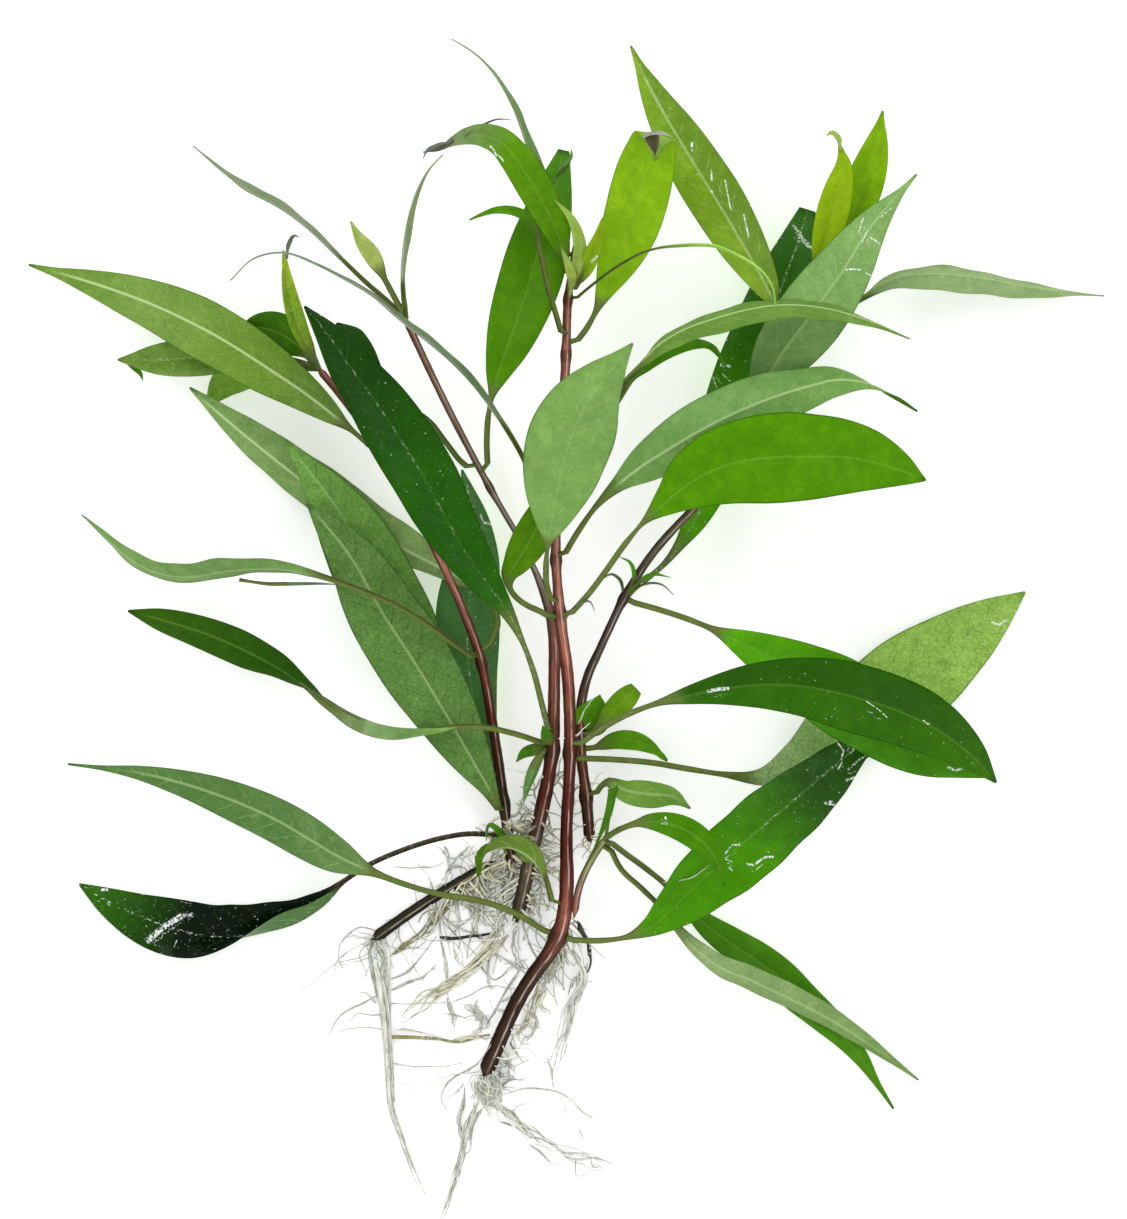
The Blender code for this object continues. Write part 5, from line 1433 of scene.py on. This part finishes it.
        Strand(((132.7, 52.2), (134.3, 49.6), (132.4, 46.4), (129.8, 44.5)),
               4, 0.7, 0.17, 0.8, 1.4, RootTone.GREY),
        Strand(((131.1, 49.6), (134, 48), (134.9, 49.3)), 2, 0.5, 0.15, 0.6, 1.2, RootTone.GREY),
        Strand(((127.3, 44.5), (128.4, 42.3), (130.2, 39.7)), 3, 0.4, 0.18, 0.4, 1.0, RootTone.GREY),
        Strand(((124.7, 40.7), (126.7, 39.4), (128.6, 37.2)), 3, 0.6, 0.16, 0.6, 0.9, RootTone.GREY),
        Strand(((124.7, 37.5), (126, 35.6), (129.2, 35.1), (131.4, 35.1)),
               3, 0.6, 0.15, 0.6, 0.7, RootTone.GREY),
        Strand(((129.2, 56), (126.1, 51.7), (124.5, 47.7), (124, 44.4), (122.1, 40.4), (120.9, 35.9)),
               1, 0, 0.2, 0.2, 0),
        Strand(((131.1, 61.7), (129.8, 63), (128.6, 63.3), (126, 64.3)),
               2, 0.3, 0.15, 0.4, 1.6, RootTone.GREY),
        Strand(((129.8, 56), (128.3, 56.1), (126.7, 55.4), (124.7, 54.4)),
               2, 0.3, 0.14, 0.4, 1.2, RootTone.GREY),
        Strand(((127.9, 51.5), (126, 52), (124.4, 52.5)), 2, 0.3, 0.13, 0.4, 1.0, RootTone.GREY),
        Strand(((144.2, 60.5), (143.6, 55.4), (143, 50.3), (141.3, 46.9), (138.8, 43.4), (137.2, 40.1)),
               2, 0.2, 0.13, 0.3, 1.6, RootTone.GREY),
        Strand(((136.9, 40.7), (137.8, 37.5), (138.3, 32.9)), 3, 0.35, 0.16, 0.3, 0.5, RootTone.GREY),
        Strand(((144.2, 74.8), (145.8, 71.9), (147.2, 68.8), (147.4, 65.6), (146.6, 61.7)),
               3, 0.5, 0.42, 0.4, 9.0, RootTone.DARK),
    ),
    "low": (
        Strand(((119.6, 39.1), (116.5, 37.2), (113.6, 35.5), (111.5, 33.4), (110.4, 31), (110.8, 29.1),
                (111.9, 27.3)),
               3, 0.35, 0.17, 0.4, 1.2, RootTone.GREY),
        Strand(((116.1, 34.3), (114.5, 32.4), (111.7, 30.6), (111, 29.5)),
               2, 0.3, 0.13, 0.4, 0.7, RootTone.GREY),
        Strand(((116.1, 33.4), (115.7, 29.2), (114.7, 25.1), (115.8, 20.3), (116.6, 16.5)),
               6, 0.8, 0.18, 0.7, 0.6, RootTone.GREY),
        Strand(((120.6, 27.9), (118.4, 24.7), (117.6, 20.3), (116.6, 16.5)),
               6, 0.7, 0.18, 0.7, 0.6, RootTone.GREY),
        Strand(((116.5, 17.1), (115.5, 13.9), (113.3, 8.2), (111.5, 3.7), (109.9, 0.4)),
               2, 0.15, 0.16, 0.2, 0.4, RootTone.GREY),
        Strand(((119.6, 36.2), (119.6, 32.4), (122.2, 29.2), (126, 27.3)), 12, 1.6, 0.19, 1.4, 1.6),
        Strand(((122.2, 36.2), (123.5, 33), (122.2, 29.8), (121.6, 26)), 12, 1.8, 0.18, 1.6, 1.6),
        Strand(((120.9, 32.4), (122.8, 31.8), (124.7, 32.4), (126, 31.1)),
               6, 1.2, 0.17, 1.2, 1.2, RootTone.CREAM),
        Strand(((124.7, 24.7), (128.6, 23.2), (131.1, 22.2), (133.2, 20.4)),
               3, 0.4, 0.18, 0.5, 0.6, RootTone.GREY),
        Strand(((125.4, 28.6), (127.9, 26.3), (130.5, 23.8), (133.2, 20.6)),
               4, 0.5, 0.17, 0.6, 0.6, RootTone.GREY),
        Strand(((133.2, 20.9), (135.9, 20), (138.6, 18.9)), 2, 0.2, 0.14, 0.3, 0.4, RootTone.GREY),
        Strand(((132.3, 19), (135.3, 16.8), (137.8, 14.4), (140.2, 13.3)),
               2, 0.25, 0.14, 0.3, 0.4, RootTone.GREY),
        Strand(((138.8, 17.6), (142, 16.6), (145.9, 16.3)), 2, 0.3, 0.13, 0.4, 0.4, RootTone.GREY),
        Strand(((141, 15.8), (144.8, 15.2), (149, 15.3), (153.3, 13.9)),
               2, 0.3, 0.16, 0.4, 0.4, RootTone.GREY),
        Strand(((143.9, 15.5), (144.4, 11.2), (147.1, 11.7)), 1, 0, 0.13, 0.3, 0.4, RootTone.GREY),
        Strand(((147.7, 15.2), (148.3, 13.4), (149.9, 13.6), (151.2, 13.1)),
               2, 0.4, 0.15, 0.4, 0.4, RootTone.GREY),
        Strand(((126, 31.4), (130.5, 32.7), (134.9, 32.8), (138.8, 32.1), (142.1, 30.4), (145, 27.6),
                (148.3, 25.4)),
               2, 0.2, 0.14, 0.3, 0.5, RootTone.GREY),
        Strand(((127.8, 26), (129.2, 28.4), (131.8, 29.3), (135.3, 29.5)),
               1, 0, 0.12, 0.3, 0.4, RootTone.GREY),
        Strand(((141.3, 28.3), (141.5, 24.1)), 1, 0, 0.1, 0.1, 0.3, RootTone.GREY),
        Strand(((144.8, 22.7), (145.8, 20.2)), 2, 0.2, 0.13, 0.1, 0.3, RootTone.GREY),
        Strand(((126, 35.3), (127.9, 35.6), (126, 33.7), (128.6, 31.9)),
               4, 0.8, 0.15, 0.8, 0.7, RootTone.GREY),
    ),
    "shoots": (
        Strand(((165.6, 84.6), (170, 85), (174, 86.6), (177, 89)), 1, 0, 0.2, 0.3, 20, level=True),
        Strand(((144.5, 124), (146.5, 128), (148.5, 130.5)), 1, 0, 0.16, 0.2, 16, level=True),
        Strand(((139.5, 120.5), (143.5, 121), (147.5, 124.3)), 2, 0.3, 0.16, 0.4, 21, level=True),
        Strand(((126.2, 113), (131, 112.2), (136.2, 117)), 1, 0, 0.2, 0.4, 16, level=True),
    ),
}

FRINGES: tuple[Fringe, ...] = (
    Fringe("left_stem", 0.0, 0.10, 34, -30, 40, (8, 20), 0.32, RootTone.CREAM, 4.0),
    Fringe("left_stem", 0.0, 0.10, 20, -105, 55, (6, 16), 0.28, RootTone.CREAM, 2.0),
    Fringe("back_stem", 0.03, 0.26, 26, -20, 45, (5, 13), 0.26, RootTone.CREAM, 3.5),
    Fringe("back_stem", 0.03, 0.24, 30, 200, 50, (6, 16), 0.28, RootTone.CREAM, 3.5),
    Fringe("back_stem", 0.0, 0.14, 40, -105, 50, (8, 26), 0.23, RootTone.PALE, 2.0),
    Fringe("right_stem", 0.0, 0.12, 24, -80, 75, (4, 10), 0.17, RootTone.CREAM, 2.5),
    Fringe("front_stem", 0.0, 0.07, 30, -80, 45, (5, 15), 0.17, RootTone.PALE, 2.5),
    Fringe("front_stem", 0.02, 0.20, 20, -40, 35, (4, 11), 0.13),
    Fringe("front_stem", 0.02, 0.18, 10, 190, 35, (3, 8), 0.11),
    Fringe("front_stem", 0.17, 0.22, 28, -72, 30, (7, 17), 0.17, RootTone.CREAM),
    Fringe("front_stem", 0.0, 0.02, 18, -95, 60, (6, 18), 0.14, RootTone.PALE),
    Fringe("rhizome", 0.0, 1.0, 34, -85, 45, (7, 26), 0.13),
    Fringe("rhizome", 0.35, 1.0, 12, 100, 50, (4, 11), 0.11),
    Fringe("rhizome", 0.0, 0.08, 12, -120, 55, (5, 15), 0.13),
    Fringe("rhizome", 0.6, 1.0, 36, -65, 60, (6, 22), 0.25, RootTone.CREAM, 3.0),
)


@dataclass
class Roots:
    """All roots: the bundles in the places of their nodes, the loose strands and the fine fringes."""

    stations: int = 40
    fine_stations: int = 15
    sides: int = 8
    fine_sides: int = 6
    girth: float = 1.7  # radii of the fine and loose roots over the thicknesses in their tables

    def build(self) -> None:
        """Builds each group of roots as one joined piece."""
        finish = self.finish()
        for number, (name, strand) in enumerate(NODE_STRANDS.items()):
            axis, _ = node_axis(name, ROOT_SIDES)
            lines, radii = self.fibres(axis[::-1], strand, seed=40 + number)
            self.put(f"{name}_fibres", lines, radii, self.sides, [strand.tone] * len(lines), finish, name)
        for number, (name, strands) in enumerate(LOOSE_STRANDS.items()):
            parts = [self.fibres(strand.line(), strand, seed=70 + 100 * number + k)
                     for k, strand in enumerate(strands)]
            tones = [strand.tone for strand in strands for _ in range(strand.fibres)]
            self.put(f"loose_roots_{name}", np.concatenate([lines for lines, _ in parts]),
                     np.concatenate([radii for _, radii in parts]) * self.girth, self.sides, tones, finish)
        parts = [self.fringe(fringe, seed=1200 + number) for number, fringe in enumerate(FRINGES)]
        tones = [fringe.tone for fringe in FRINGES for _ in range(fringe.count)]
        self.put("fine_roots", np.concatenate([lines for lines, _ in parts]),
                 np.concatenate([radii for _, radii in parts]) * self.girth, self.fine_sides, tones, finish)

    def fibres(self, route: Array, strand: Strand, seed: int) -> tuple[Array, Array]:
        """The fibres of a strand.

        Each keeps its own side of the route at up to spread, narrowing to both ends, and wanders off it by
        three sines, one of them short. The first fibre runs the whole route, and the others start later
        and stop short.

        Args:
            route: (points, 3) in mm.
            strand: what the fibres are like.
            seed: for the random draws.

        Returns:
            Lines (fibres, stations, 3) and radii (fibres, stations, 1), in mm.
        """
        draw = np.random.default_rng(seed)
        knots = travelled(route)
        ends = draw.uniform(0.55, 1.0, strand.fibres)
        begins = draw.uniform(0, 0.2, strand.fibres)
        begins[0], ends[0] = 0, 1
        steps = np.linspace(0, 1, self.stations)[None]
        shares = begins[:, None] + steps * (ends - begins)[:, None]
        centre = along(shares.ravel() * knots[-1], knots, route).reshape(*shares.shape, 3)
        forward = unit(np.gradient(centre, axis=1))
        side = unit(np.cross((0, 0, 1), forward))
        angle = draw.uniform(0, 2 * np.pi, strand.fibres)[:, None]
        reach = strand.spread * np.sqrt(draw.uniform(0, 1, strand.fibres))[:, None] * (1 - 0.7 * shares)
        reach = reach * (0.35 + 0.65 * smoothstep(0, 0.2, shares))
        phase = draw.uniform(0, 2 * np.pi, (3, strand.fibres, 1))
        turns = draw.uniform((0.5, 0.9, 3.0), (1.2, 2.6, 5.5), (strand.fibres, 3)).T[..., None]
        sizes = np.array([0.6, 0.4, 0.14])[:, None, None]
        sway = (np.sin(2 * np.pi * shares * turns + phase) * sizes).sum(axis=0)
        sway = sway * strand.wander * (0.15 + shares)
        across = reach * np.cos(angle) + sway
        height = np.abs(reach * np.sin(angle)) * 0.8
        lines = centre + side * across[..., None] + np.array([0, 0, 1]) * height[..., None]
        radii = strand.thickness * draw.uniform(0.6, 1.0, strand.fibres)[:, None] * (1 - 0.6 * steps)
        radii = radii * (0.4 + 0.6 * smoothstep(0, 0.08, steps))
        return above_table(lines), np.maximum(radii, 0.05)[..., None]

    def fringe(self, fringe: Fringe, seed: int) -> tuple[Array, Array]:
        """The fine roots of a fringe.

        Each leaves the stem at its heading, which then swings by two sines, and sinks to the table as it
        goes, the faster the longer it is.
        """
        draw = np.random.default_rng(seed)
        axis, _ = node_axis(fringe.stem, STEM_SIDES)
        knots = travelled(axis)
        starts = along(draw.uniform(fringe.first, fringe.last, fringe.count) * knots[-1], knots, axis)
        least, most = fringe.lengths
        lengths = least + (most - least) * draw.uniform(0, 1, fringe.count) ** 2
        shares = np.linspace(0, 1, self.fine_stations)[None]
        heading = np.radians(fringe.heading + draw.uniform(-fringe.fan, fringe.fan, fringe.count))[:, None]
        phase = draw.uniform(0, 2 * np.pi, (2, fringe.count, 1))
        turns = draw.uniform(0.4, 1.6, (2, fringe.count, 1))
        heading = heading + 0.45 * (np.sin(2 * np.pi * shares * turns + phase) - np.sin(phase)).sum(axis=0)
        step = (lengths / (self.fine_stations - 1))[:, None]
        x = np.cumsum(np.cos(heading) * step, axis=1) - np.cos(heading[:, :1]) * step
        y = np.cumsum(np.sin(heading) * step, axis=1) - np.sin(heading[:, :1]) * step
        rise = draw.uniform(-1.0, fringe.rise, fringe.count)[:, None] * np.sin(np.pi * shares)
        z = starts[:, 2:] * (1 - smoothstep(0, 1, shares * np.minimum(1, lengths / 9)[:, None])) + rise
        lines = np.stack([starts[:, :1] + x, starts[:, 1:2] + y, z], axis=-1)
        radii = fringe.thickness * draw.uniform(0.6, 1.0, fringe.count)[:, None] * (1 - 0.6 * shares)
        return above_table(lines), radii[..., None]

    def put(self, name: str, lines: Array, radii: Array, sides: int, tones: list[RootTone],
            finish: bpy.types.Material, node: str = "") -> None:
        """Joins root lines into one piece and places it."""
        points = tubes(lines, radii, sides)
        crowns = (points[..., 2] - lines[:, :, None, 2]) / radii
        grid = np.ones(points.shape[1:3])
        skins = []
        for number, (one, crown, tone) in enumerate(zip(points, crowns, tones)):
            run = travelled(lines[number])
            strand = number * 0.618 % 1
            values = {"along": run[:, None] * grid, "strand": strand * grid, "crown": crown}
            colour = np.array(tone.value) * (0.75 + 0.45 * (number * 0.414 % 1))
            skins.append(Skin(above_table(one, 0.15), values, colour * grid[..., None]))
        piece = mesh_of(name, skins, [finish])
        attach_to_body(piece, "root")
        if node:
            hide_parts(node)
        log.info("%s: %d roots, %d faces", name, len(skins), len(piece.data.polygons))

    @staticmethod
    def finish() -> bpy.types.Material:
        """Wet, half clear root skin: its own tone with browner and paler stretches, and painted shade on its
        flanks below the crown.
        """
        s = Shader("root_skin")
        run, strand = s.value("along"), s.value("strand")
        stretch = s.noise(s.place(run, s.math("MULTIPLY", strand, 50.0)), 0.3, 2.0)
        fleck = s.noise(s.place(run, s.math("MULTIPLY", strand, 91.0)), 1.1, 2.0)
        tone = s.colour("tone")
        colour = s.mix(s.ramp(stretch, 0.4, 0.7), tone, s.times(tone, (0.55, 0.55, 0.47)))
        colour = s.mix(s.math("MULTIPLY", s.ramp(fleck, 0.56, 0.68), 0.7), colour, (0.85, 0.86, 0.80))
        # Painted shade: darker on the flanks and underside of each root, lighter along its top.
        colour = s.mix(s.ramp(s.value("crown"), 0.66, 0.2), colour, s.times(colour, (0.40, 0.43, 0.37)))
        return s.finish(Base_Color=colour, Roughness=0.4, IOR=1.36, Specular_IOR_Level=0.3, Coat_Weight=0.25,
                        Coat_Roughness=0.1, Normal=s.bump(fleck, 0.0001, 0.4))


# The studio


@dataclass
class Studio:
    """A pale floor, soft boxes round the plant and a camera that looks straight down from far off."""

    floor_half: float = 14.0
    camera_height: float = 6.0
    sensor: float = 36.0
    floor_glow: float = 0.32  # light that the floor gives off, as a light table does

    def build(self) -> None:
        """Makes the floor, the lights and the camera."""
        self.floor()
        self.lights()
        self.camera()

    def floor(self) -> None:
        """A large plane just under the plant."""
        bpy.ops.mesh.primitive_plane_add(size=2 * self.floor_half)
        floor = bpy.context.object
        floor.name = "floor"
        s = Shader("pale_floor")
        cloud = s.noise(s.object_place(), 3.0, 2.0)
        floor.data.materials.append(
            s.finish(Base_Color=s.mix(cloud, (0.93, 0.93, 0.93), (0.96, 0.96, 0.96)), Roughness=0.9, IOR=1.2,
                     Emission_Color=(1.0, 1.0, 1.0), Emission_Strength=self.floor_glow))

    def lights(self) -> None:
        """Four large soft boxes that lean in from the sides, and a dim sky."""
        world = bpy.data.worlds.new("studio_air")
        world.use_nodes = True
        world.node_tree.nodes["Background"].inputs["Color"].default_value = (1, 1, 1, 1)
        world.node_tree.nodes["Background"].inputs["Strength"].default_value = 0.85
        bpy.context.scene.world = world
        boxes = (((-1.0, 1.1, 1.3), 1.0, 9), ((1.2, 0.9, 1.3), 1.0, 5), ((-1.1, -1.1, 1.2), 1.0, 3.5),
                 ((1.0, -1.2, 1.2), 1.0, 3.5))
        for number, (place, size, power) in enumerate(boxes):
            light = bpy.data.lights.new(f"soft_box_{number}", "AREA")
            light.shape = "SQUARE"
            light.size = size
            light.energy = power
            lamp = bpy.data.objects.new(light.name, light)
            lamp.location = place
            lamp.rotation_mode = "QUATERNION"
            back = np.array(place) / np.linalg.norm(place)
            lamp.rotation_quaternion = Vector(back).to_track_quat("Z", "Y")
            bpy.context.scene.collection.objects.link(lamp)

    def camera(self) -> None:
        """A long lens over the middle of the photograph's frame."""
        wide, high = (side * PHOTO_PIXEL * MM for side in PHOTO_SIZE)
        centre = (PHOTO_SIZE[0] * PHOTO_PIXEL / 2, PHOTO_TOP - PHOTO_SIZE[1] * PHOTO_PIXEL / 2, 0)
        x, y, _ = from_photo_corner(centre) * MM
        data = bpy.data.cameras.new("overhead")
        data.sensor_width = self.sensor
        data.lens = self.sensor * self.camera_height / high
        data.clip_start, data.clip_end = 0.5, 40
        camera = bpy.data.objects.new("overhead", data)
        camera.location = (x, y, self.camera_height)
        bpy.context.scene.collection.objects.link(camera)
        bpy.context.scene.camera = camera


def main() -> None:
    """Builds the pieces in order."""
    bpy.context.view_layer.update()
    Stems(STEM_LOOKS).build()
    leaf_faces = [UPPER_FINISH.make(), UNDER_FINISH.make()]
    Foliage(LEAF_LOOKS, PAINTED_GLEAMS).build(leaf_faces)
    Leaflets(LEAFLETS).build(leaf_faces)
    Roots().build()
    Studio().build()
    bpy.context.scene.view_settings.view_transform = "Standard"


if __name__ == "__main__":
    logging.basicConfig(level=logging.INFO, format="%(message)s")
    main()
